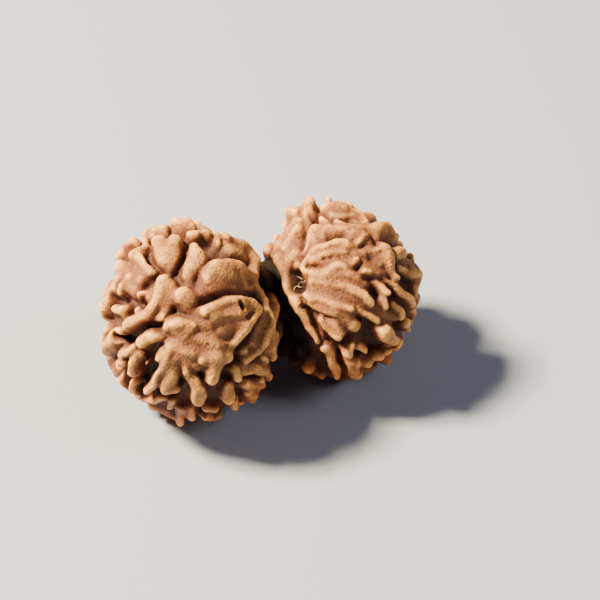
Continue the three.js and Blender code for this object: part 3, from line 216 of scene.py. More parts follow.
# Knobs of the smaller bead's worn side
SMALL_KNOBS = [
    # upper limb from the left
    [(-4.75, 7.9, 1.8, 0.68), (-4.2, 8.0, 1.8, 0.72)],
    [(-2.7, 7.8, 1.3, 0.6), (-3.0, 8.85, 2.0, 0.75)],
    [(-2.85, 6.3, 0.9, 0.25), (-3.2, 7.3, 1.4, 0.3), (-3.15, 8.05, 1.75, 0.3)],
    [(-0.95, 8.2, 1.3, 0.82), (0.4, 8.3, 1.3, 0.82)],
    [(-0.5, 7.3, 0.8, 0.6), (0.6, 7.3, 0.8, 0.6)],
    [(-1.0, 9.3, 1.9, 0.35)],
    [(1.4, 8.1, 1.3, 0.35), (2.25, 7.75, 1.3, 0.4), (2.75, 6.9, 1.3, 0.4)],
    [(1.35, 7.55, 1.1, 0.4), (1.9, 7.3, 1.0, 0.4)],
    [(1.6, 6.8, 0.8, 0.35), (2.2, 6.6, 0.9, 0.35)],
    [(-1.75, 7.3, 1.5, 0.33), (-1.1, 6.6, 1.1, 0.4)],
    [(-0.2, 7.05, 1.35, 0.3), (0.5, 6.6, 1.1, 0.35)],
    [(-5.5, 6.9, 1.6, 0.35)],
    [(-6.2, 5.6, 1.6, 0.3), (-6.4, 4.9, 1.6, 0.3)],
    [(-7.2, 4.0, 1.6, 0.5), (-6.9, 3.4, 1.0, 0.5)],
    # smooth ridge with its broad right slope
    [
        (-3.85, 6.85, 1.5, 0.48), (-4.5, 6.4, 1.5, 0.52), (-5.15, 5.5, 1.45, 0.54),
        (-5.7, 4.6, 1.35, 0.5), (-6.4, 3.75, 1.2, 0.38),
    ],
    [(-3.9, 6.1, 1.25, 0.7), (-4.45, 5.25, 1.15, 0.75), (-5.0, 4.3, 1.05, 0.72)],
    [(-4.15, 3.75, 1.0, 0.55), (-4.3, 3.0, 0.9, 0.6), (-5.1, 3.0, 1.0, 0.55)],
    [(-3.7, 2.9, 0.8, 0.4)],
    # broad plate with a sharp left edge
    [(-2.4, 6.5, 1.5, 0.25), (-2.85, 5.4, 1.4, 0.25), (-3.2, 4.4, 1.3, 0.25), (-3.45, 3.9, 1.1, 0.25)],
    [(-2.0, 6.0, 1.05, 0.7), (-2.3, 4.9, 1.0, 0.65)],
    [(-1.1, 6.1, 1.0, 0.65), (-1.5, 5.3, 0.9, 0.65)],
    [(-1.4, 6.3, 1.1, 0.35), (-0.7, 6.2, 1.1, 0.35)],
    [(0.1, 6.6, 1.2, 0.3), (1.0, 6.35, 1.2, 0.38), (2.2, 6.3, 1.25, 0.42), (3.0, 6.15, 1.2, 0.38)],
    [(-0.2, 5.9, 0.95, 0.6), (1.2, 5.75, 0.95, 0.65), (2.3, 5.6, 1.0, 0.6)],
    [(1.2, 5.2, 0.7, 0.6)],
    [(2.85, 5.65, 1.3, 0.3), (2.2, 5.05, 1.2, 0.33), (1.85, 4.6, 1.0, 0.3)],
    [(2.9, 4.75, 0.8, 0.35)],
    # long lobe across the middle
    [
        (-3.4, 2.45, 1.3, 0.28), (-2.95, 3.2, 1.2, 0.35), (-2.45, 3.95, 1.2, 0.48),
        (-1.75, 4.25, 1.25, 0.5), (-1.0, 4.6, 1.35, 0.5), (-0.1, 4.85, 1.4, 0.5),
        (0.7, 4.75, 1.35, 0.48), (1.25, 4.5, 1.1, 0.4),
    ],
    [(-2.25, 3.0, 1.1, 0.6), (-1.0, 3.55, 1.05, 0.65), (0.5, 3.9, 1.0, 0.7)],
    [(-1.5, 2.75, 0.9, 0.5), (-0.2, 3.05, 0.9, 0.5), (1.0, 3.15, 0.9, 0.5)],
    [(1.5, 3.7, 0.8, 0.6), (2.4, 3.6, 0.7, 0.6)],
    # crest under it and the little ridges right of it
    [
        (-3.4, 2.0, 1.25, 0.3), (-2.6, 1.75, 1.25, 0.4), (-1.6, 1.75, 1.3, 0.42),
        (-0.8, 2.1, 1.35, 0.42), (0.1, 2.45, 1.4, 0.4), (0.65, 2.4, 1.3, 0.35),
    ],
    [(-2.2, 1.1, 1.0, 0.6), (-0.6, 1.4, 0.95, 0.65), (0.9, 1.6, 0.85, 0.65), (1.9, 1.3, 0.8, 0.55)],
    [(1.25, 2.6, 1.1, 0.25), (1.8, 3.3, 1.4, 0.25)],
    [(2.1, 2.0, 0.8, 0.3), (2.6, 2.15, 1.3, 0.32), (3.05, 2.0, 1.3, 0.32)],
    # flutes that fan out from the hole
    [
        (-2.65, 0.95, 1.15, 0.5), (-1.3, 0.85, 1.1, 0.5), (0.2, 0.5, 1.15, 0.55),
        (1.6, 0.15, 1.2, 0.55), (2.5, -0.4, 1.35, 0.5), (3.3, -1.0, 1.55, 0.4),
    ],
    [(1.6, 1.0, 0.7, 0.55), (2.5, 0.6, 0.8, 0.5)],
    [(-2.2, 0.1, 0.9, 0.5), (-0.9, 0, 0.75, 0.65), (1.2, -0.6, 0.6, 0.7), (2.5, -1.3, 0.5, 0.6)],
    [
        (-3.1, -0.3, 1.3, 0.33), (-2.6, -0.55, 1.3, 0.36), (-1.6, -0.75, 1.3, 0.36),
        (-0.3, -1.15, 1.35, 0.36), (1.2, -1.85, 1.4, 0.33),
    ],
    [(-2.6, -1.2, 1.1, 0.35), (-1.6, -1.45, 0.95, 0.6), (-0.2, -1.9, 0.95, 0.7), (0.9, -2.5, 0.8, 0.7)],
    [
        (-1.5, -2.8, 1.15, 0.42), (-1.2, -3.6, 1.15, 0.42), (-0.5, -4.2, 1.25, 0.42),
        (-0.05, -4.6, 1.4, 0.4),
    ],
    [(-0.4, -3.2, 0.95, 0.7), (0.2, -3.9, 1.0, 0.5)],
    [(1.2, -2.6, 0.7, 0.55), (1.6, -3.3, 0.95, 0.6)],
    [(1.9, -1.85, 0.9, 0.38), (3.0, -2.35, 1.15, 0.4), (3.9, -2.85, 1.35, 0.36)],
    # right flank
    [(3.9, 6.2, 1.25, 0.85), (4.75, 6.15, 1.3, 0.85)],
    [(3.7, 5.2, 0.9, 0.55), (4.6, 5.2, 0.8, 0.5)],
    [(4.65, 4.8, 0.9, 0.25), (5.4, 5.35, 1.3, 0.28), (6.0, 5.7, 1.55, 0.35), (6.35, 5.2, 1.4, 0.35)],
    [
        (3.3, 3.6, 0.95, 0.3), (4.0, 4.05, 1.25, 0.42), (4.6, 4.15, 1.35, 0.6), (4.8, 3.4, 1.3, 0.6),
        (4.95, 2.7, 1.15, 0.5), (5.4, 1.95, 1.2, 0.38), (5.8, 1.5, 1.4, 0.32),
    ],
    [(3.3, 2.6, 0.85, 0.28), (4.1, 2.6, 0.95, 0.28)],
    [(3.9, 3.2, 0.75, 0.55), (4.5, 3.1, 0.9, 0.5)],
    [(3.4, 1.75, 0.65, 0.5), (4.4, 1.75, 0.7, 0.5)],
    [(5.7, 3.65, 1.2, 0.68), (6.2, 3.9, 1.4, 0.78)],
    [(6.3, 2.8, 0.8, 0.55), (7.0, 2.7, 0.9, 0.5)],
    [(7.45, 3.5, 1.5, 0.36), (7.4, 2.8, 1.3, 0.36)],
    [(5.9, 2.3, 0.9, 0.42), (6.8, 2.0, 0.95, 0.45)],
    [(7.1, 1.95, 1.1, 0.7), (7.65, 1.6, 1.35, 0.82)],
    [(8.0, 0, 1.2, 0.35), (7.9, -0.5, 1.1, 0.33)],
    [(3.5, 0.85, 0.85, 0.36), (4.3, 0.4, 1.2, 0.38), (4.75, -0.1, 1.45, 0.34)],
    [
        (4.5, 1.15, 0.8, 0.4), (5.55, 0.65, 1.15, 0.42), (6.35, 0, 1.3, 0.42), (7.2, -0.75, 1.4, 0.42),
        (7.5, -1.3, 1.3, 0.38),
    ],
    [(4.4, -0.85, 1.1, 0.33), (4.75, -1.6, 1.35, 0.33)],
    [(5.3, -1.2, 1.0, 0.34), (6.05, -2.0, 1.35, 0.45), (6.2, -2.4, 1.4, 0.45)],
    [(3.6, -1.6, 0.6, 0.55), (4.4, -2.2, 0.8, 0.5), (5.4, -2.5, 0.9, 0.45)],
    [(7.5, -2.0, 1.1, 0.36), (7.6, -2.6, 1.0, 0.33)],
    [(6.9, -3.0, 1.3, 0.45), (6.6, -3.4, 1.1, 0.4)],
    [(6.9, -3.9, 1.25, 0.45)],
    [(4.45, -4.1, 1.45, 0.92), (5.3, -4.4, 1.45, 0.75), (5.7, -4.95, 1.4, 0.5)],
    [(6.15, -5.1, 1.4, 0.4), (5.9, -5.6, 1.3, 0.35)],
    [(5.0, -5.35, 1.1, 0.3)],
    # seam side and bottom
    [
        (-5.95, 3.3, 1.15, 0.48), (-5.5, 2.2, 1.25, 0.48), (-5.15, 1.2, 1.35, 0.46),
        (-4.7, 0.2, 1.35, 0.5), (-4.15, -0.85, 1.35, 0.52), (-3.55, -2.0, 1.4, 0.52),
        (-2.95, -3.2, 1.45, 0.48), (-2.4, -4.2, 1.6, 0.43), (-2.1, -4.75, 1.75, 0.33),
    ],
    [(-4.1, -0.1, 0.9, 0.45), (-3.7, -0.9, 0.9, 0.4)],
    [
        (-1.3, -5.5, 1.2, 0.42), (-0.8, -6.1, 1.3, 0.3), (-0.65, -7.0, 1.45, 0.3),
        (-0.25, -7.9, 1.55, 0.36), (0, -8.6, 1.6, 0.36),
    ],
    [(1.45, -5.25, 1.25, 0.33), (1.0, -6.1, 1.25, 0.6), (0.8, -6.4, 1.2, 0.5)],
    [(1.2, -7.1, 1.35, 0.45), (1.35, -7.5, 1.35, 0.42)],
    [(1.95, -7.1, 1.45, 0.4), (1.9, -7.9, 1.4, 0.38)],
    [(1.5, -8.3, 1.5, 0.36), (2.1, -8.5, 1.55, 0.36)],
    [(2.15, -5.45, 1.0, 0.4), (2.85, -6.05, 1.35, 0.33)],
    [(2.5, -6.9, 1.1, 0.45), (2.95, -7.0, 1.25, 0.5)],
    [(3.7, -6.4, 1.1, 0.45), (4.1, -6.6, 1.3, 0.45)],
    [(4.8, -6.2, 1.3, 0.35), (5.3, -5.95, 1.3, 0.3)],
    [(-5.4, -5.2, 0.6, 0.6), (-5.9, -6.3, 1.2, 0.75)],
    [(-3.9, -5.4, 0.3, 0.6), (-4.1, -6.6, 0.9, 0.7)],
    [(-2.8, -6.7, 0.5, 0.7), (-3.0, -7.6, 1.2, 0.75)],
    [(-4.7, -7.2, 0.5, 0.5), (-5.1, -8.1, 1.2, 0.55)],
]

# Hollows of the larger bead's worn side, along (right, up, height, radius) at the bottom
LARGE_HOLLOWS = [
    [(-4.05, 6.6, 0.7, 0.25), (-3.55, 5.5, 0.6, 0.25)],
    [(1.1, 7.75, 0.9, 0.2), (1.9, 7.4, 0.8, 0.22)],
    [(-4.2, 1.6, 0.5, 0.3)],
    [(-6.7, 2.05, 0.5, 0.25), (-6.0, 1.85, 0.5, 0.25)],
    [(-7.6, 0.1, 0.5, 0.3), (-7.3, 0.4, 0.5, 0.25)],
    [(-6.2, -1.3, 0.3, 0.4), (-5.6, -1.6, 0.3, 0.4)],
    [(-3.1, -3.6, 0.1, 0.42), (-3.7, -4.5, 0.1, 0.45), (-4.2, -5.1, 0.1, 0.35)],
    [(6.6, 0.7, 0.6, 0.18), (6.25, -0.4, 0.4, 0.22), (5.85, -1.3, 0.4, 0.22), (5.4, -2.2, 0.5, 0.2)],
    [(7.1, 3.65, 0.2, 0.45), (7.3, 2.7, 0.2, 0.5)],
    [(7.05, 5.1, 0.4, 0.25), (7.1, 4.4, 0.4, 0.25)],
    [(-5.0, 8.1, 0.5, 0.22), (-5.0, 7.4, 0.5, 0.22)],
]

# Hollows of the smaller bead's worn side
SMALL_HOLLOWS = [
    # the dry hole at the pole and the gap that runs down from it
    [(-3.75, 2.0, -0.1, 0.35), (-3.55, 1.2, -0.9, 0.62), (-3.35, 0.25, -0.7, 0.5)],
    [(-2.75, -1.6, 0.1, 0.35), (-2.3, -2.7, -0.1, 0.42), (-1.85, -3.9, -0.1, 0.36)],
    # the seam between the beads
    [
        (-6.6, 3.0, 0.1, 0.3), (-6.2, 1.2, -0.4, 0.45), (-5.6, -0.7, -0.5, 0.6),
        (-5.1, -2.4, -0.5, 0.7), (-4.5, -4.1, -0.4, 0.75), (-3.9, -5.5, -0.1, 0.7),
    ],
    # between the knobs
    [(-3.55, 5.0, 0.65, 0.2), (-3.45, 4.4, 0.6, 0.2)],
    [(-5.35, 3.35, 1.3, 0.12)],
    [(-1.3, 3.1, 1.35, 0.1)],
    [(-0.7, 3.1, 1.3, 0.12)],
    [(0.1, 3.15, 1.35, 0.1)],
    [(0.9, 3.3, 1.35, 0.1)],
    [(0.6, 5.7, 1.5, 0.12)],
    [(1.5, 5.65, 1.5, 0.1)],
    [(5.6, 4.85, 0.6, 0.18), (6.3, 4.65, 0.7, 0.18)],
    [(6.5, 0.75, 0.3, 0.3), (7.2, 0.4, 0.4, 0.28)],
    [(3.15, 6.5, 0.5, 0.25), (3.3, 7.2, 0.2, 0.35)],
    [(5.2, -3.3, 0.3, 0.25), (5.9, -3.9, 0.3, 0.3)],
    [(2.8, -3.1, 0.3, 0.22), (2.95, -4.3, 0.2, 0.3), (3.1, -5.3, 0.2, 0.36)],
    [(0.1, -5.7, 0.1, 0.33), (0.35, -7.2, 0.2, 0.3)],
]

# Soft swellings between the knobs' edges, and the shallow floors of some valleys
LARGE_PADS = [
    [(2.6, 4.75, 0.95, 1.2), (4.4, 4.6, 0.85, 1.15)],
    [(2.4, 3.6, 0.45, 1.0), (4.4, 3.55, 0.4, 1.0)],
    [(3.2, 0.8, 0.2, 1.05), (4.6, 0.8, 0.5, 1.1), (5.3, 0.4, 0.5, 0.95)],
    [(3.4, -0.3, 0.25, 1.1), (4.6, -0.4, 0.35, 1.05)],
    [(6.85, 0.6, 0.8, 0.65), (6.4, -0.8, 0.8, 0.65), (5.75, -1.95, 0.7, 0.6)],
    [(1.0, 2.6, 0.4, 0.8), (1.3, 3.4, 0.35, 0.75)],
    [(-0.1, 3.3, 0.3, 0.7), (-0.9, 1.6, 0.2, 0.7)],
    [(1.5, -3.5, 1.15, 0.5)],
    [(3.5, -3.2, 1.15, 0.6)],
    [(2.4, -3.4, 1.1, 0.8), (2.3, -4.5, 1.2, 0.72), (2.3, -5.3, 1.3, 0.6)],
    [(8.4, -1.3, 1.2, 0.5), (8.5, -2.0, 1.1, 0.45)],
    [(-0.75, 2.4, 1.1, 0.8), (-0.3, 2.05, 1.1, 0.65), (0.15, 1.7, 0.95, 0.55)],
    [(-1.3, -0.75, 1.0, 0.5), (-0.5, -1.15, 1.0, 0.5), (0.1, -0.9, 1.0, 0.55)],
    [(0.2, -0.7, 0.35, 0.9), (1.2, -0.2, 0.35, 0.9)],
    [(-0.9, -1.3, 0.35, 0.9), (0.8, -1.5, 0.4, 0.9)],
    [(2.0, -2.1, 0.45, 0.85), (3.4, -1.9, 0.45, 0.85)],
    [(-5.0, 6.2, 0.9, 0.75)],
    [(-2.3, 3.0, 0.75, 0.8), (-2.6, 1.9, 0.75, 0.75)],
    [
        (7.45, 5.6, 1.15, 0.72), (7.9, 4.2, 1.2, 0.75), (8.3, 3.0, 1.25, 0.72), (8.05, 1.6, 1.1, 0.7),
        (7.9, 0.2, 1.1, 0.7), (7.7, -1.3, 1.05, 0.7), (7.35, -2.5, 1.0, 0.6),
    ],
    [(7.9, -1.6, 1.1, 0.6), (7.8, -2.5, 1.1, 0.6)],
]

# The same of the smaller bead
SMALL_PADS = [
    [
        (-5.75, 3.0, 1.0, 0.65), (-5.25, 2.15, 1.0, 0.6), (-5.02, 1.0, 1.0, 0.45),
        (-4.85, -0.05, 1.05, 0.42), (-4.25, -1.0, 1.1, 0.5),
    ],
    [(-3.9, 2.5, 1.0, 0.4)],
    [
        (-3.9, 6.2, 0.8, 0.7), (-3.8, 5.3, 0.75, 0.7), (-3.9, 4.5, 0.6, 0.7), (-4.6, 3.3, 0.8, 0.7),
        (-4.7, 2.7, 0.9, 0.55),
    ],
    [(-4.2, 6.6, 1.15, 0.78), (-5.0, 5.4, 1.1, 0.8), (-5.6, 4.4, 1.05, 0.75)],
    [(-2.2, 5.9, 0.6, 0.7), (-1.2, 5.6, 0.6, 0.75), (0.6, 5.7, 0.5, 0.7)],
    [(-2.5, 4.9, 0.6, 0.65), (-2.75, 3.9, 0.6, 0.5)],
    [(-1.7, 3.35, 0.5, 0.7), (-0.2, 3.8, 0.5, 0.75), (1.0, 4.0, 0.5, 0.7)],
    [(-2.9, 1.4, 0.45, 0.7), (-1.2, 1.3, 0.4, 0.8), (0.6, 1.0, 0.4, 0.8)],
    [(-2.5, 0.5, 0.35, 0.7), (-0.8, 0.3, 0.3, 0.8), (1.0, -0.1, 0.3, 0.8)],
    [(-2.2, -1.0, 0.4, 0.7), (-1.0, -1.3, 0.4, 0.75), (0.4, -1.8, 0.4, 0.7)],
    [(-1.0, -3.0, 0.5, 0.6), (0.3, -3.4, 0.5, 0.65)],
    [(2.7, 4.6, 0.5, 0.6), (3.0, 3.8, 0.5, 0.7), (4.2, 3.0, 0.4, 0.8)],
    [(3.3, 5.6, 0.5, 0.75), (4.3, 5.2, 0.5, 0.8)],
    [(2.4, 2.6, 0.4, 0.8), (3.4, 1.7, 0.4, 0.8)],
    [(7.35, 2.9, 1.0, 0.75), (7.6, 1.6, 1.1, 0.8), (7.6, 0.3, 1.0, 0.7)],
    [(3.7, 6.0, 1.2, 0.8), (4.9, 5.9, 1.2, 0.85)],
    [(4.6, 4.2, 1.2, 0.75), (4.9, 3.0, 1.05, 0.65)],
    [(-1.2, -5.6, 1.1, 0.5), (-0.75, -6.6, 1.2, 0.5), (-0.35, -7.6, 1.3, 0.5), (-0.1, -8.3, 1.4, 0.48)],
    [(1.1, -6.9, 1.2, 0.55), (1.5, -7.9, 1.3, 0.5), (1.7, -8.5, 1.4, 0.45)],
    [
        (-4.2, -0.9, 1.1, 0.55), (-3.7, -1.9, 1.1, 0.5), (-3.2, -2.9, 1.15, 0.42),
        (-2.65, -3.9, 1.2, 0.35), (-2.15, -4.9, 1.3, 0.25),
    ],
]

# Pinholes in the larger bead's knobs
LARGE_PITS = [
    [(2.14, 5.15, 1.95, 0.12)],
    [(2.91, 4.56, 2.0, 0.1)],
    [(4.75, 1.85, 1.5, 0.18), (5.0, 1.4, 1.4, 0.22)],
    [(6.0, 1.1, 1.5, 0.16), (5.4, 0.5, 1.35, 0.2)],
    [(3.2, -0.39, 1.55, 0.1)],
    [(1.65, -2.23, 1.3, 0.1)],
    [(3.4, -2.23, 1.2, 0.1)],
    [(4.27, -2.91, 1.1, 0.1)],
]

# Pinholes in the smaller bead's knobs
SMALL_PITS = [
    [(-3.8, 1.6, 0.75, 0.4), (-3.65, 0.3, 0.65, 0.42)],
    [(0.25, 3.3, 1.35, 0.1)],
    [(-0.25, 2.95, 1.3, 0.12)],
    [(-0.95, 2.7, 1.3, 0.1)],
    [(1.1, 5.9, 1.4, 0.1)],
    [(0.45, 5.55, 1.4, 0.12)],
    [(1.2, 5.35, 1.35, 0.1)],
]

# The far side's knobs follow the rule of growth: rows round the pole, leaning off their meridians, none
# on the seven mouth lines that run from pole to pole
ROW_STEP = 1.85
ROW_PITCH = 2.25
ROW_SCATTER = 0.5
MOUTH_LINES = 7
MOUTH_LINE_HALF_WIDTH = 0.45
FAR_SIDE_LIMIT = -0.06
SEAM = 0.65
SEAM_CLEARANCE = 1.3
SEEDS_PER_ROW = 40
MEAN_HEIGHT = 1
FAR_HEIGHTS = (0.4, 0.9, 1.4)
FAR_LENGTH = (1.0, 2.3)
FAR_RADIUS = (0.55, 0.9)
FAR_LEAN = (-0.75, 0.75)
FAR_ROOT_BACK = 0.5
FAR_CREST_FORWARD = 0.3
FAR_TIP_SHARE = 0.85
FORK_SHARE = 0.34
FORK_TURN = 1.3
FORK_HEIGHT = 1.3
FORK_TIP_SHARE = 0.7

# The lowest knob tips, which the seed rests on
FOOT_RADIUS = 0.9
FOOT_HEIGHT = 0.38
FOOT_LENGTH = 0.25
LARGE_FEET = ((-10.0, -0.9), (-6.6, 2.5), (-6.3, -2.3))
SMALL_FEET = ((7.0, 1.9), (9.8, 0.1), (7.4, -2.1))

front_out = np.array((
    math.sin(FRONT_TURN) * math.cos(FRONT_LIFT),
    -math.cos(FRONT_TURN) * math.cos(FRONT_LIFT),
    math.sin(FRONT_LIFT),
))
front_right = np.array((math.cos(FRONT_TURN), math.sin(FRONT_TURN), 0))
front_up = np.cross(front_out, front_right)


def from_front(right, up, out):
    """The direction given as right, up and out of the front"""
    return right * front_right + up * front_up + out * front_out


def point_on_front(bead, right, up, height):
    """The point of a bead seen at a place of its worn side, at a height over the valley floor.
    A place past the rim is drawn in to the rim"""
    radii = np.array(bead["radii"]) + height
    across = from_front(right, up, 0) / radii
    view = from_front(*bead["view"])
    out = view / radii
    # The line of sight meets the ball where square * depth ** 2 + slope * depth + start = 1
    square, slope, start = out @ out, 2 * across @ out, across @ across
    rim = 4 * square * start - slope * slope
    pull = min(1, math.sqrt(4 * square / rim)) if rim > 0 else 1
    root = max(0, (pull * slope) ** 2 - 4 * square * (pull * pull * start - 1))
    depth = (math.sqrt(root) - pull * slope) / (2 * square)
    return pull * from_front(right, up, 0) + depth * view + bead["centre"]


def point_towards(bead, direction, height):
    """The point of a bead in a direction from its centre, at a height over the valley floor"""
    radii = np.array(bead["radii"]) + height
    return direction / np.linalg.norm(direction / radii) + bead["centre"]


def draw(seed):
    """A repeatable draw between 0 and 1"""
    value = math.sin(seed * 12.9898 + 78.233) * 43758.5453
    return value - math.floor(value)


def draw_between(limits, seed):
    return limits[0] + (limits[1] - limits[0]) * draw(seed)


def front_knobs(bead, rows):
    return [
        (bead, [(point_on_front(bead, right, up, height), radius) for right, up, height, radius in row])
        for row in rows
    ]


def far_knobs(bead):
    """Knobs of the side that is turned away, one in three of them forked"""
    pole = from_front(*bead["pole"])
    pole /= np.linalg.norm(pole)
    across = np.cross(pole, front_out)
    across /= np.linalg.norm(across)
    along = np.cross(pole, across)
    size = sum(bead["radii"]) / 3 + MEAN_HEIGHT
    root_height, crest_height, tip_height = FAR_HEIGHTS

    def direction(fall, turn):
        sideways = math.cos(turn) * across + math.sin(turn) * along
        return math.cos(fall) * pole + math.sin(fall) * sideways

    knobs = []
    for row in range(1, math.floor(math.pi * size / ROW_STEP)):
        ring = row * ROW_STEP / size
        count = max(3, math.floor(2 * math.pi * size * math.sin(ring) / ROW_PITCH + 0.5))
        for place in range(count):
            seed = bead["seed"] + SEEDS_PER_ROW * row + place
            fall = ring + (draw(seed) - 0.5) * ROW_SCATTER / size
            turn = 2 * math.pi * (place + 0.5 * (row % 2) + ROW_SCATTER * draw(seed + 0.2)) / count
            girth = size * math.sin(fall)
            line = turn * MOUTH_LINES / (2 * math.pi)
            off_line = abs(line - math.floor(line + 0.5)) * 2 * math.pi * girth / MOUTH_LINES
            hidden = direction(fall, turn) @ front_out < FAR_SIDE_LIMIT
            middle = point_towards(bead, direction(fall, turn), MEAN_HEIGHT)
            clear = (SEAM - middle[0]) * bead["side"] > SEAM_CLEARANCE
            if not hidden or not clear or off_line < MOUTH_LINE_HALF_WIDTH:
                continue
            lean = draw_between(FAR_LEAN, seed + 0.4)
            length = draw_between(FAR_LENGTH, seed + 0.6)
            radius = draw_between(FAR_RADIUS, seed + 0.8)

            def tip(angle, height):
                fall_there = fall + length * math.cos(angle) / size
                turn_there = turn + length * math.sin(angle) / girth
                return point_towards(bead, direction(fall_there, turn_there), height)

            root = point_towards(bead, direction(fall - FAR_ROOT_BACK / size, turn), root_height)
            crest = point_towards(bead, direction(fall + FAR_CREST_FORWARD / size, turn), crest_height)
            end = (tip(lean, tip_height), radius * FAR_TIP_SHARE)
            knobs.append((bead, [(root, radius), (crest, radius), end]))
            if draw(seed + 0.9) < FORK_SHARE:
                fork = tip(lean - math.copysign(FORK_TURN, lean), FORK_HEIGHT)
                knobs.append((bead, [(crest, radius), (fork, radius * FORK_TIP_SHARE)]))
    return knobs


def feet(bead, places):
    knobs = []
    for x, y in places:
        tip = np.array((x, y, FOOT_HEIGHT))
        root = tip + FOOT_LENGTH * (np.array(bead["centre"]) - tip)
        knobs.append((bead, [(root, FOOT_RADIUS), (tip, FOOT_RADIUS)]))
    return knobs


def swell(points):
    """A slow swell, aslant of the axes, that keeps every knob from being quite straight or quite round"""
    x, y, z = points[..., 0], points[..., 1], points[..., 2]
    moved = points.copy()
    for order, (height, length) in enumerate(SWELLS):
        pace = 2 * math.pi / length
        for axis, (first, second, third) in enumerate(((x, y, z), (y, z, x), (z, x, y))):
            wave = np.sin(pace * (0.8 * second + 0.6 * third) + 1.7 * axis + order)
            moved[..., axis] += height * wave * np.cos(pace * (0.9 * first - 0.45 * third) + 2.1 * axis)
    return moved


def smooth_minimum(first, second, blend):
    share = np.clip(0.5 + 0.5 * (second - first) / blend, 0, 1)
    return second + (first - second) * share - blend * share * (1 - share)


TINY = 1e-9


def ellipsoid_distance(points, shape):
    """Signed distance to an ellipsoid, close enough near its surface"""
    radii = np.array(shape["radii"], np.float32)
    offset = (points - np.array(shape["centre"], np.float32)) / radii
    share = np.sqrt((offset ** 2).sum(-1))
    slope = np.sqrt(((offset / radii) ** 2).sum(-1)) + TINY
    return share * (share - 1) / slope


def segment_offset(points, start, end):
    """The nearest point of a straight line to each point, and how far along the line it lies"""
    line = (end - start).astype(np.float32)
    share = np.clip((points - start) @ line / max(line @ line, TINY), 0, 1)
    return start + share[..., None] * line, share


def stretch_distance(points, start, end, centre, way=1):
    """Signed distance to the stretch of a knob between two of its points. Its flanks spread downwards,
    or those of a hollow upwards where way is -1"""
    (start_place, start_radius), (end_place, end_radius) = start, end
    nearest, share = segment_offset(points, np.float32(start_place), np.float32(end_place))
    upward = nearest - np.array(centre, np.float32)
    upward /= np.linalg.norm(upward, axis=-1, keepdims=True)
    offset = points - nearest
    height = way * (offset * upward).sum(-1)
    aside = np.sqrt(np.maximum((offset * offset).sum(-1) - height ** 2, 0))
    radius = start_radius + (end_radius - start_radius) * share
    flank = (aside + FLANK_SPREAD * height) / math.hypot(1, FLANK_SPREAD)
    return np.where(height > 0, np.hypot(aside, height), flank) - radius


# The stone's signed distance on a grid of points, worked out knob by knob in a box round each knob
GRID_STEP = 0.19
GRID_LOW = np.array((-18.2, -11.8, -1.2), np.float32)
GRID_HIGH = np.array((18.2, 11.8, 22.0), np.float32)
KNOB_REACH = 1.6
FAR_AWAY = 3.0
LEAST_TOTAL = 1e-12

grid_counts = np.ceil((GRID_HIGH - GRID_LOW) / GRID_STEP).astype(int) + 1
grid_axes = [GRID_LOW[axis] + GRID_STEP * np.arange(grid_counts[axis]) for axis in range(3)]
places = np.stack(np.meshgrid(*grid_axes, indexing="ij"), -1).astype(np.float32)
swollen = swell(places)


def drawn_distance(strokes, way):
    """Signed distance to knobs or hollows that run into each other softly. A single point makes a ball"""
    total = np.zeros(grid_counts, np.float32)
    for bead, points in strokes:
        if len(points) == 1:
            points = points * 2
        corners = np.array([place for place, _ in points])
        margin = max(radius for _, radius in points) + KNOB_REACH
        first = np.maximum(np.floor((corners.min(0) - margin - GRID_LOW) / GRID_STEP).astype(int), 0)
        last = np.ceil((corners.max(0) + margin - GRID_LOW) / GRID_STEP).astype(int) + 1
        box = tuple(slice(start, stop) for start, stop in zip(first, last))
        distances = [
            stretch_distance(swollen[box], start, end, bead["centre"], way)
            for start, end in zip(points, points[1:])
        ]
        total[box] += np.exp(-np.minimum(np.minimum.reduce(distances), FAR_AWAY) / KNOB_BLEND)
    return np.minimum(-KNOB_BLEND * np.log(total + LEAST_TOTAL), FAR_AWAY)


knobs = front_knobs(LARGE, LARGE_KNOBS) + front_knobs(SMALL, SMALL_KNOBS)
knobs += far_knobs(LARGE) + far_knobs(SMALL) + feet(LARGE, LARGE_FEET) + feet(SMALL, SMALL_FEET)
crests = drawn_distance(knobs, 1)
hollows = drawn_distance(front_knobs(LARGE, LARGE_HOLLOWS) + front_knobs(SMALL, SMALL_HOLLOWS), -1)
pads = drawn_distance(front_knobs(LARGE, LARGE_PADS) + front_knobs(SMALL, SMALL_PADS), 1)
pits = drawn_distance(front_knobs(LARGE, LARGE_PITS) + front_knobs(SMALL, SMALL_PITS), -1)
floors = np.minimum(ellipsoid_distance(swollen, LARGE), ellipsoid_distance(swollen, SMALL))
floors = smooth_minimum(floors, ellipsoid_distance(swollen, BRIDGE), BRIDGE_BLEND)
stone_distance = smooth_minimum(crests, floors, ROOT_BLEND)
stone_distance = -smooth_minimum(-stone_distance, hollows, HOLLOW_BLEND)
stone_distance = smooth_minimum(stone_distance, pads, PAD_BLEND)
stone_distance = -smooth_minimum(-stone_distance, pits, PIT_BLEND)
stone_distance = np.maximum(stone_distance, -places[..., 2])

# The surface through the grid, thinned out where it is even
STONE_FACES = 190000

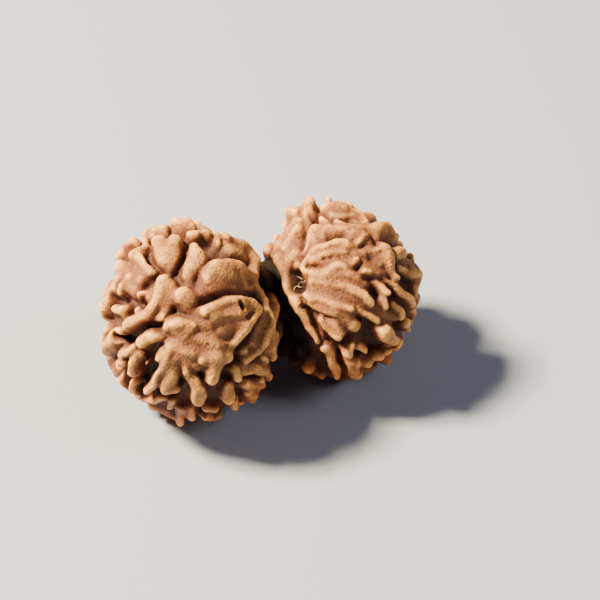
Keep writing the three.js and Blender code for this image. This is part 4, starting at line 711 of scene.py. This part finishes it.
stone_grid = openvdb.FloatGrid(FAR_AWAY)
stone_grid.copyFromArray(stone_distance.astype(np.float32))
points, quads = stone_grid.convertToQuads(isovalue=0.0)
full_mesh = bpy.data.meshes.new("stone")
full_mesh.from_pydata((points * GRID_STEP + GRID_LOW).tolist(), [], quads.tolist())
stone = bpy.data.objects.new("stone", full_mesh)
bpy.context.scene.collection.objects.link(stone)
thinning = stone.modifiers.new("thinning", "DECIMATE")
thinning.ratio = min(1, STONE_FACES / (2 * len(full_mesh.polygons)))
bpy.context.view_layer.update()
depsgraph = bpy.context.evaluated_depsgraph_get()
stone_mesh = bpy.data.meshes.new_from_object(stone.evaluated_get(depsgraph))
stone.modifiers.clear()
stone.data = stone_mesh

# Signs of wear, dust and painted shade, kept at each vertex for the finish: the share of solid stone near
# it and in a wide ball round it, its height over the valley floor, its distances from both beads added up,
# how far to the right it is, and how high over the table
NEAR = 0.35
WIDE = 1.3
BLUR_REACH = 2.2


def blurred(field, width):
    """The mean of a field round each of its points, weighted like a soft spot of that width"""
    reach = math.ceil(BLUR_REACH * width / GRID_STEP)
    steps = np.arange(-reach, reach + 1)
    weights = np.exp(-0.5 * (steps * GRID_STEP / width) ** 2)
    weights /= weights.sum()
    for axis in range(3):
        moved = [weight * np.roll(field, step, axis) for weight, step in zip(weights, steps)]
        field = np.add.reduce(moved)
    return field


def at_vertices(field, places):
    """A field of the grid read at places between its points"""
    steps = (places - GRID_LOW) / GRID_STEP
    lower = np.clip(np.floor(steps).astype(int), 0, np.array(field.shape) - 2)
    share = steps - lower
    value = 0
    for corner in range(8):
        bits = np.array(((corner >> 0) & 1, (corner >> 1) & 1, (corner >> 2) & 1))
        weight = np.where(bits, share, 1 - share).prod(-1)
        value = value + weight * field[tuple((lower + bits).T)]
    return value


vertex_places = np.empty(3 * len(stone_mesh.vertices), np.float32)
stone_mesh.vertices.foreach_get("co", vertex_places)
vertex_places = vertex_places.reshape(-1, 3)
solid = np.clip(0.5 - stone_distance / GRID_STEP, 0, 1).astype(np.float32)
marks = {
    "near": at_vertices(blurred(solid, NEAR), vertex_places),
    "wide": at_vertices(blurred(solid, WIDE), vertex_places),
    "height": at_vertices(floors, vertex_places),
    "seam": ellipsoid_distance(vertex_places, LARGE) + ellipsoid_distance(vertex_places, SMALL),
    "along": vertex_places[:, 0],
    "lift": vertex_places[:, 2],
}
for name, values in marks.items():
    mark = stone_mesh.attributes.new(name, "FLOAT", "POINT")
    mark.data.foreach_set("value", values.astype(np.float32))
stone_mesh.transform(Matrix.Scale(MILLIMETRE, 4))
stone_mesh.shade_smooth()


class Wire:
    """An output of a material's node, so that sums on it can be written as sums"""

    def __init__(self, socket):
        self.socket = socket

    def math(self, operation, other, swapped=False):
        pair = (other, self) if swapped else (self, other)
        return node(self.socket.id_data, "ShaderNodeMath", {"operation": operation}, dict(enumerate(pair)))

    def __add__(self, other):
        return self.math("ADD", other)

    def __sub__(self, other):
        return self.math("SUBTRACT", other)

    def __rsub__(self, other):
        return self.math("SUBTRACT", other, swapped=True)

    def __mul__(self, other):
        return self.math("MULTIPLY", other)

    __radd__ = __add__
    __rmul__ = __mul__

    def between(self, low, high):
        """0 below one value, 1 above another, with a soft passage"""
        return node(self.socket.id_data, "ShaderNodeMapRange", {"interpolation_type": "SMOOTHSTEP"}, {
            "Value": self, "From Min": low, "From Max": high,
        })


def node(tree, kind, settings, sockets, output=0):
    """A node of a kind: its settings come first, then the values or links of its sockets"""
    made = tree.nodes.new(kind)
    for name, value in settings.items():
        setattr(made, name, value)
    for name, value in sockets.items():
        if isinstance(value, Wire):
            tree.links.new(value.socket, made.inputs[name])
        else:
            made.inputs[name].default_value = value
    return Wire(made.outputs[output])


def mixed(share, first, second, blend="MIX"):
    """A colour between two colours"""
    return node(share.socket.id_data, "ShaderNodeMix", {"data_type": "RGBA", "blend_type": blend}, {
        "Factor": share, 6: first, 7: second,
    }, 2)


def mottle(place, length, detail, roughness):
    """Cloudy patches of about a length in millimetres, from 0 to 1"""
    return node(place.socket.id_data, "ShaderNodeTexNoise", {}, {
        "Vector": place, "Scale": 1 / (length * MILLIMETRE), "Detail": detail, "Roughness": roughness,
    })


stone_finish = bpy.data.materials.new("stone_finish")
stone_finish.use_nodes = True
stone_tree = stone_finish.node_tree
stone_shader = stone_tree.nodes["Principled BSDF"]
near, wide, height, seam, along, lift = [
    node(stone_tree, "ShaderNodeAttribute", {"attribute_name": name}, {}, "Fac") for name in marks
]
stone_place = node(stone_tree, "ShaderNodeTexCoord", {}, {}, "Object")

# Patches, speckles and grains that leave no edge of a colour even, and pores within some of the patches
CLOUD_LENGTH = 4.0
SPECKLE_LENGTH = 0.6
SAND_LENGTH = 0.2
PORE_STEP = 0.75
PORE_SIZE = (0.07, 0.2)
PORE_PATCH = (0.45, 0.6)
cloud = mottle(stone_place, CLOUD_LENGTH, detail=3, roughness=0.55)
speckle = mottle(stone_place, SPECKLE_LENGTH, detail=3, roughness=0.6)
sand = mottle(stone_place, SAND_LENGTH, detail=2, roughness=0.6)
pore_cells = node(stone_tree, "ShaderNodeTexVoronoi", {"feature": "F1"}, {
    "Vector": stone_place, "Scale": 1 / (PORE_STEP * MILLIMETRE),
})
pores = (1 - pore_cells.between(*PORE_SIZE)) * cloud.between(*PORE_PATCH)

# The crests that stand out, where each sign begins and where it is full
CREST_STONE = (0.24, 0.52)
CREST_HEIGHT = (0.7, 1.85)
standing = 1 - (near + 0.16 * (speckle - 0.5) + 0.1 * (sand - 0.5)).between(*CREST_STONE)
top = (height + 0.8 * (cloud - 0.5) + 0.6 * (speckle - 0.5)).between(*CREST_HEIGHT)

# The valleys, which get dust with painted shade, and those sunk below the floor, which get painted shade
VALLEY_STONE = (0.44, 0.66)
SUNKEN_HEIGHT = (-0.35, 0.2)
valley = (wide + 0.12 * (cloud - 0.5)).between(*VALLEY_STONE)
sunken = 1 - height.between(*SUNKEN_HEIGHT)

# The rims of the seam, darkened with stain and painted shade, the hole beside it, which gets painted
# shade, and the gap, which gets a painted shadow with some dark residue and widens towards the table
STAIN_AND_SHADE_WIDTH = (3.6, 6.2)
HOLE_HEIGHT = (0.1, 1.0)
HOLE_WIDTH = (4.0, 6.0)
HOLE_LIFT = (10.0, 12.0)
GAP_STONE = (0.36, 0.56)
GAP_RIGHT = (0.5, 1.3)
GAP_WIDTH = (3.4, 4.8)
GAP_SPREAD = 2.5
GAP_LIFT = (3.0, 11.0)
# Darker next to the seam: stain with painted shade between the beads
seam_stain_and_shade = 1 - (seam + 1.2 * (cloud - 0.5)).between(*STAIN_AND_SHADE_WIDTH)
at_seam = 1 - seam.between(*HOLE_WIDTH)
hole = (1 - height.between(*HOLE_HEIGHT)) * at_seam * lift.between(*HOLE_LIFT)
sheltered = 1 - (1 - wide.between(*GAP_STONE)) * (1 - along.between(*GAP_RIGHT))
spread = GAP_SPREAD * (1 - lift.between(*GAP_LIFT))
gap = (1 - (seam + 0.6 * (cloud - 0.5) - spread).between(*GAP_WIDTH)) * sheltered

# Layers of colour, each over the one before: rosy flanks darkened low down as painted shade, tan knobs,
# cream crests worn pale that also carry a painted highlight, a warm painted shade low down, grains, dust
# in the pores, dust with painted shade in the valleys and at the seam, painted shade in the sunken places
# and the hole, and a painted shadow in the gap. A plain knob has only a trace of cream, and grains show
# less on the crests
# Rosy brown of the flanks, darker low between the knobs as painted shade
ROSE_AND_SHADE = (0.1, 0.028, 0.014, 1)
TAN = (0.17, 0.06, 0.024, 1)
# Cream of the crests, worn pale, which also serves as a painted highlight on the knob tops
CREAM_AND_HIGHLIGHT = (0.95, 0.47, 0.11, 1)
CREAM_TRACE = 0.08
WEAR_AND_HIGHLIGHT = 0.7
# A warm painted shade that darkens the lower parts, in place of bounce light
WARM_LOW_SHADE = (1, 0.66, 0.5, 1)
WARM_SHADE_LIFT = (3.0, 12.0)
SAND = (0.5, 0.34, 0.24, 1)
SAND_SHARE = (0.5, 0.66)
SAND_DEPTH = 0.8
SAND_WEAR = 0.5
# Dust, which in the valleys and at the seam also serves as painted shade
DUST_AND_SHADE = (0.045, 0.014, 0.008, 1)
PORE_DUST = 0.3
VALLEY_DUST_AND_SHADE = 0.75
SEAM_DUST_AND_SHADE = 0.55
# Painted shade, dark brown, below the valley floor and in the hole
SHADE_BROWN = (0.02, 0.008, 0.005, 1)
SUNKEN_SHADE = 0.85
HOLE_SHADE = 0.9
# Painted shadow, near black, in the gap between the beads, with some dark residue
GAP_SHADOW_BLACK = (0.006, 0.003, 0.002, 1)
GAP_SHADOW = 0.95
colour = mixed(top, ROSE_AND_SHADE, TAN)
for share, tint, blend in (
    (top * (CREAM_TRACE + WEAR_AND_HIGHLIGHT * standing), CREAM_AND_HIGHLIGHT, "MIX"),
    (1 - lift.between(*WARM_SHADE_LIFT), WARM_LOW_SHADE, "MULTIPLY"),
    ((SAND_DEPTH - SAND_WEAR * standing) * sand.between(*SAND_SHARE), SAND, "MULTIPLY"),
    (PORE_DUST * pores, DUST_AND_SHADE, "MIX"),
    (VALLEY_DUST_AND_SHADE * valley, DUST_AND_SHADE, "MIX"),
    (SEAM_DUST_AND_SHADE * seam_stain_and_shade, DUST_AND_SHADE, "MIX"),
    (1 - (1 - SUNKEN_SHADE * sunken) * (1 - HOLE_SHADE * hole), SHADE_BROWN, "MIX"),
    (GAP_SHADOW * gap, GAP_SHADOW_BLACK, "MIX"),
):
    colour = mixed(share, colour, tint, blend)
stone_tree.links.new(colour.socket, stone_shader.inputs["Base Color"])

# Handling has polished the crests a little, and the grain is shallower there
DRY_ROUGHNESS = 0.62
CREST_POLISH = 0.24
SPECKLE_ROUGHNESS = 0.14
GAP_ROUGHNESS = 0.4
SPECKLE_RELIEF = 0.5
SAND_RELIEF = 0.4
PORE_RELIEF = 0.35
CREST_SMOOTHING = 0.4
GRAIN_RELIEF = 0.22
GRAIN_STRENGTH = 0.9
STONE_GLOSS = 0.3
roughness = DRY_ROUGHNESS - CREST_POLISH * standing + SPECKLE_ROUGHNESS * speckle + GAP_ROUGHNESS * gap
grain = (SPECKLE_RELIEF * speckle + SAND_RELIEF * sand) * (1 - CREST_SMOOTHING * standing)
relief = grain - PORE_RELIEF * pores
bump = node(stone_tree, "ShaderNodeBump", {}, {
    "Height": relief, "Distance": GRAIN_RELIEF * MILLIMETRE, "Strength": GRAIN_STRENGTH,
})
stone_tree.links.new(roughness.socket, stone_shader.inputs["Roughness"])
stone_tree.links.new(bump.socket, stone_shader.inputs["Normal"])
stone_shader.inputs["Specular IOR Level"].default_value = STONE_GLOSS
stone_mesh.materials.append(stone_finish)

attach(stone, "root")
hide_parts("rudraksha_stone")

# Dried fibres
# A few threads of the fruit's flesh have dried in the hole beside the seam and in the gap between the
# beads. They are thin stiff straw, caught at both ends. Each is a crooked tube through points of
# (right, up, height), seen from the front like those of the smaller bead's knobs.
FIBRE_RADIUS = 0.07
FIBRE_END_SHARE = 0.45
FIBRE_SIDES = 6
FIBRE_STEPS = 4
HOLE_FIBRES = [
    [
        (-4.2, -0.5, 0.6), (-4.35, -0.1, 0.8), (-4.3, 0.3, 0.9), (-4.05, 0.55, 0.7),
        (-3.75, 0.42, 0.6), (-3.5, 0.45, 0.3), (-3.3, 0.2, 0),
    ],
    [
        (-4.0, 0.2, 0), (-3.9, 0.7, 0.3), (-3.65, 0.95, 0.5), (-3.45, 0.85, 0.5),
        (-3.2, 1.1, 0.3), (-2.9, 1.05, 0.2),
    ],
    [(-4.4, 1.1, -0.2), (-4.15, 1.45, 0), (-3.8, 1.4, 0.2), (-3.55, 1.15, 0.1), (-3.6, 0.8, 0)],
]
SEAM_FIBRES = [
    [(-6.1, -0.2, 0.5), (-5.7, -0.14, 0.7), (-5.35, -0.25, 0.7), (-5.1, 0.15, 0.6), (-5.0, 0.4, 0.5)],
    [(-5.9, 2.4, 0.3), (-5.8, 1.9, 0.4), (-5.5, 1.4, 0.4), (-5.45, 0.9, 0.3)],
]


def smooth_line(places):
    """Points of a smooth line through some places"""
    ends = [2 * places[0] - places[1], *places, 2 * places[-1] - places[-2]]
    line = []
    for before, start, end, after in zip(ends, ends[1:], ends[2:], ends[3:]):
        for step in range(FIBRE_STEPS):
            t = step / FIBRE_STEPS
            square = 2 * before - 5 * start + 4 * end - after
            cube = 3 * start - before - 3 * end + after
            bend = square * t * t + cube * t ** 3
            line.append(start + 0.5 * ((end - before) * t + bend))
    return line + [places[-1]]


fibre_points = []
fibre_faces = []
for fibre in HOLE_FIBRES + SEAM_FIBRES:
    line = smooth_line([point_on_front(SMALL, right, up, height) for right, up, height in fibre])
    first = len(fibre_points)
    for index, middle in enumerate(line):
        tangent = line[min(index + 1, len(line) - 1)] - line[max(index - 1, 0)]
        side = np.cross(tangent, front_out)
        side /= np.linalg.norm(side)
        over = np.cross(side, tangent)
        over /= np.linalg.norm(over)
        share = math.sin(math.pi * index / (len(line) - 1))
        radius = FIBRE_RADIUS * (FIBRE_END_SHARE + (1 - FIBRE_END_SHARE) * share)
        for corner in range(FIBRE_SIDES):
            turn = 2 * math.pi * corner / FIBRE_SIDES
            fibre_points.append(middle + radius * (math.cos(turn) * side + math.sin(turn) * over))
    last = first + (len(line) - 1) * FIBRE_SIDES
    for ring in range(first, last, FIBRE_SIDES):
        for corner in range(FIBRE_SIDES):
            here = ring + corner
            beside = ring + (corner + 1) % FIBRE_SIDES
            fibre_faces.append((here, here + FIBRE_SIDES, beside + FIBRE_SIDES, beside))
    fibre_faces.append(tuple(range(first, first + FIBRE_SIDES)))
    fibre_faces.append(tuple(reversed(range(last, last + FIBRE_SIDES))))

fibre_mesh = bpy.data.meshes.new("fibres")
fibre_mesh.from_pydata((np.array(fibre_points) * MILLIMETRE).tolist(), [], fibre_faces)
fibre_mesh.shade_smooth()
fibres = bpy.data.objects.new("fibres", fibre_mesh)
bpy.context.scene.collection.objects.link(fibres)

# The straw is pale, with dark streaks
STRAW_DARK = (0.05, 0.025, 0.012, 1)
STRAW_PALE = (0.3, 0.19, 0.08, 1)
STRAW_ROUGHNESS = 0.6
STREAK_LENGTH = 0.5
STREAK_SHARE = (0.38, 0.62)
fibre_finish = bpy.data.materials.new("fibre_finish")
fibre_finish.use_nodes = True
fibre_tree = fibre_finish.node_tree
fibre_shader = fibre_tree.nodes["Principled BSDF"]
fibre_place = node(fibre_tree, "ShaderNodeTexCoord", {}, {}, "Object")
streak = mottle(fibre_place, STREAK_LENGTH, detail=2, roughness=0.5)
straw = mixed(streak.between(*STREAK_SHARE), STRAW_DARK, STRAW_PALE)
fibre_tree.links.new(straw.socket, fibre_shader.inputs["Base Color"])
fibre_shader.inputs["Roughness"].default_value = STRAW_ROUGHNESS
fibre_mesh.materials.append(fibre_finish)

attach(fibres, "root")

# Table
# The seed lies on a plain pale sheet of smooth card, which is a little bluish.
# The card is only the ground under the seed. Its size is in metres.
CARD_HALF = 0.8
CARD_COLOUR = (0.28, 0.32, 0.42, 1)
CARD_ROUGHNESS = 0.7
CARD_CORNERS = ((-1, -1), (1, -1), (1, 1), (-1, 1))
card_mesh = bpy.data.meshes.new("card")
card_mesh.from_pydata([(x * CARD_HALF, y * CARD_HALF, 0) for x, y in CARD_CORNERS], [], [(0, 1, 2, 3)])
card = bpy.data.objects.new("card", card_mesh)
bpy.context.scene.collection.objects.link(card)
card_finish = bpy.data.materials.new("card_finish")
card_finish.use_nodes = True
card_shader = card_finish.node_tree.nodes["Principled BSDF"]
card_shader.inputs["Base Color"].default_value = CARD_COLOUR
card_shader.inputs["Roughness"].default_value = CARD_ROUGHNESS
card_mesh.materials.append(card_finish)

# Studio light
# A warm lamp stands high on the left, and a weak wide one on the right softens its shadows. The room
# round them is pale and a little bluish.
ROOM_COLOUR = (0.75, 0.8, 0.9, 1)
ROOM_STRENGTH = 0.09
SEED_MIDDLE = np.array((0, 0, 10.0))


def soft_lamp(name, direction, distance, size, power, colour):
    """A square soft box that looks at the seed from a direction, with its distance and size in metres"""
    lamp_data = bpy.data.lights.new(name, "AREA")
    lamp_data.size = size
    lamp_data.energy = power
    lamp_data.color = colour
    lamp = bpy.data.objects.new(name, lamp_data)
    bpy.context.scene.collection.objects.link(lamp)
    direction = direction / np.linalg.norm(direction)
    lamp.location = (SEED_MIDDLE * MILLIMETRE + direction * distance).tolist()
    lamp.rotation_euler = Vector(direction.tolist()).to_track_quat("Z", "Y").to_euler()


key_side = from_front(-0.63, 0.6, 0.48)
fill_side = from_front(0.7, 0.35, 0.6)
soft_lamp("key", key_side, distance=0.5, size=0.1, power=21.5, colour=(1, 0.82, 0.52))
soft_lamp("fill", fill_side, distance=0.8, size=0.3, power=2.6, colour=(1, 0.92, 0.86))
room = bpy.data.worlds.new("room")
room.use_nodes = True
room_shader = room.node_tree.nodes["Background"]
room_shader.inputs["Color"].default_value = ROOM_COLOUR
room_shader.inputs["Strength"].default_value = ROOM_STRENGTH
bpy.context.scene.world = room

# Camera
# It looks down on the seed from the front, with a long lens. Its place follows from the pixel at
# which the middle of the larger bead is seen.
LENS = 120
SENSOR = 36
CAMERA_DISTANCE = 200
IMAGE_WIDTH = 600
LARGE_CENTRE_PIXEL = (190, 322)
CLIP_START = 0.01

focal_pixels = LENS / SENSOR * IMAGE_WIDTH
aside = (LARGE_CENTRE_PIXEL[0] - IMAGE_WIDTH / 2) / focal_pixels * CAMERA_DISTANCE
above = (IMAGE_WIDTH / 2 - LARGE_CENTRE_PIXEL[1]) / focal_pixels * CAMERA_DISTANCE
camera_place = np.array(LARGE["centre"]) + from_front(-aside, -above, CAMERA_DISTANCE)
camera_data = bpy.data.cameras.new("camera")
camera_data.lens = LENS
camera_data.sensor_width = SENSOR
camera_data.clip_start = CLIP_START
camera = bpy.data.objects.new("camera", camera_data)
bpy.context.scene.collection.objects.link(camera)
camera.location = (camera_place * MILLIMETRE).tolist()
camera.rotation_euler = (math.pi / 2 - FRONT_LIFT, 0, FRONT_TURN)
bpy.context.scene.camera = camera
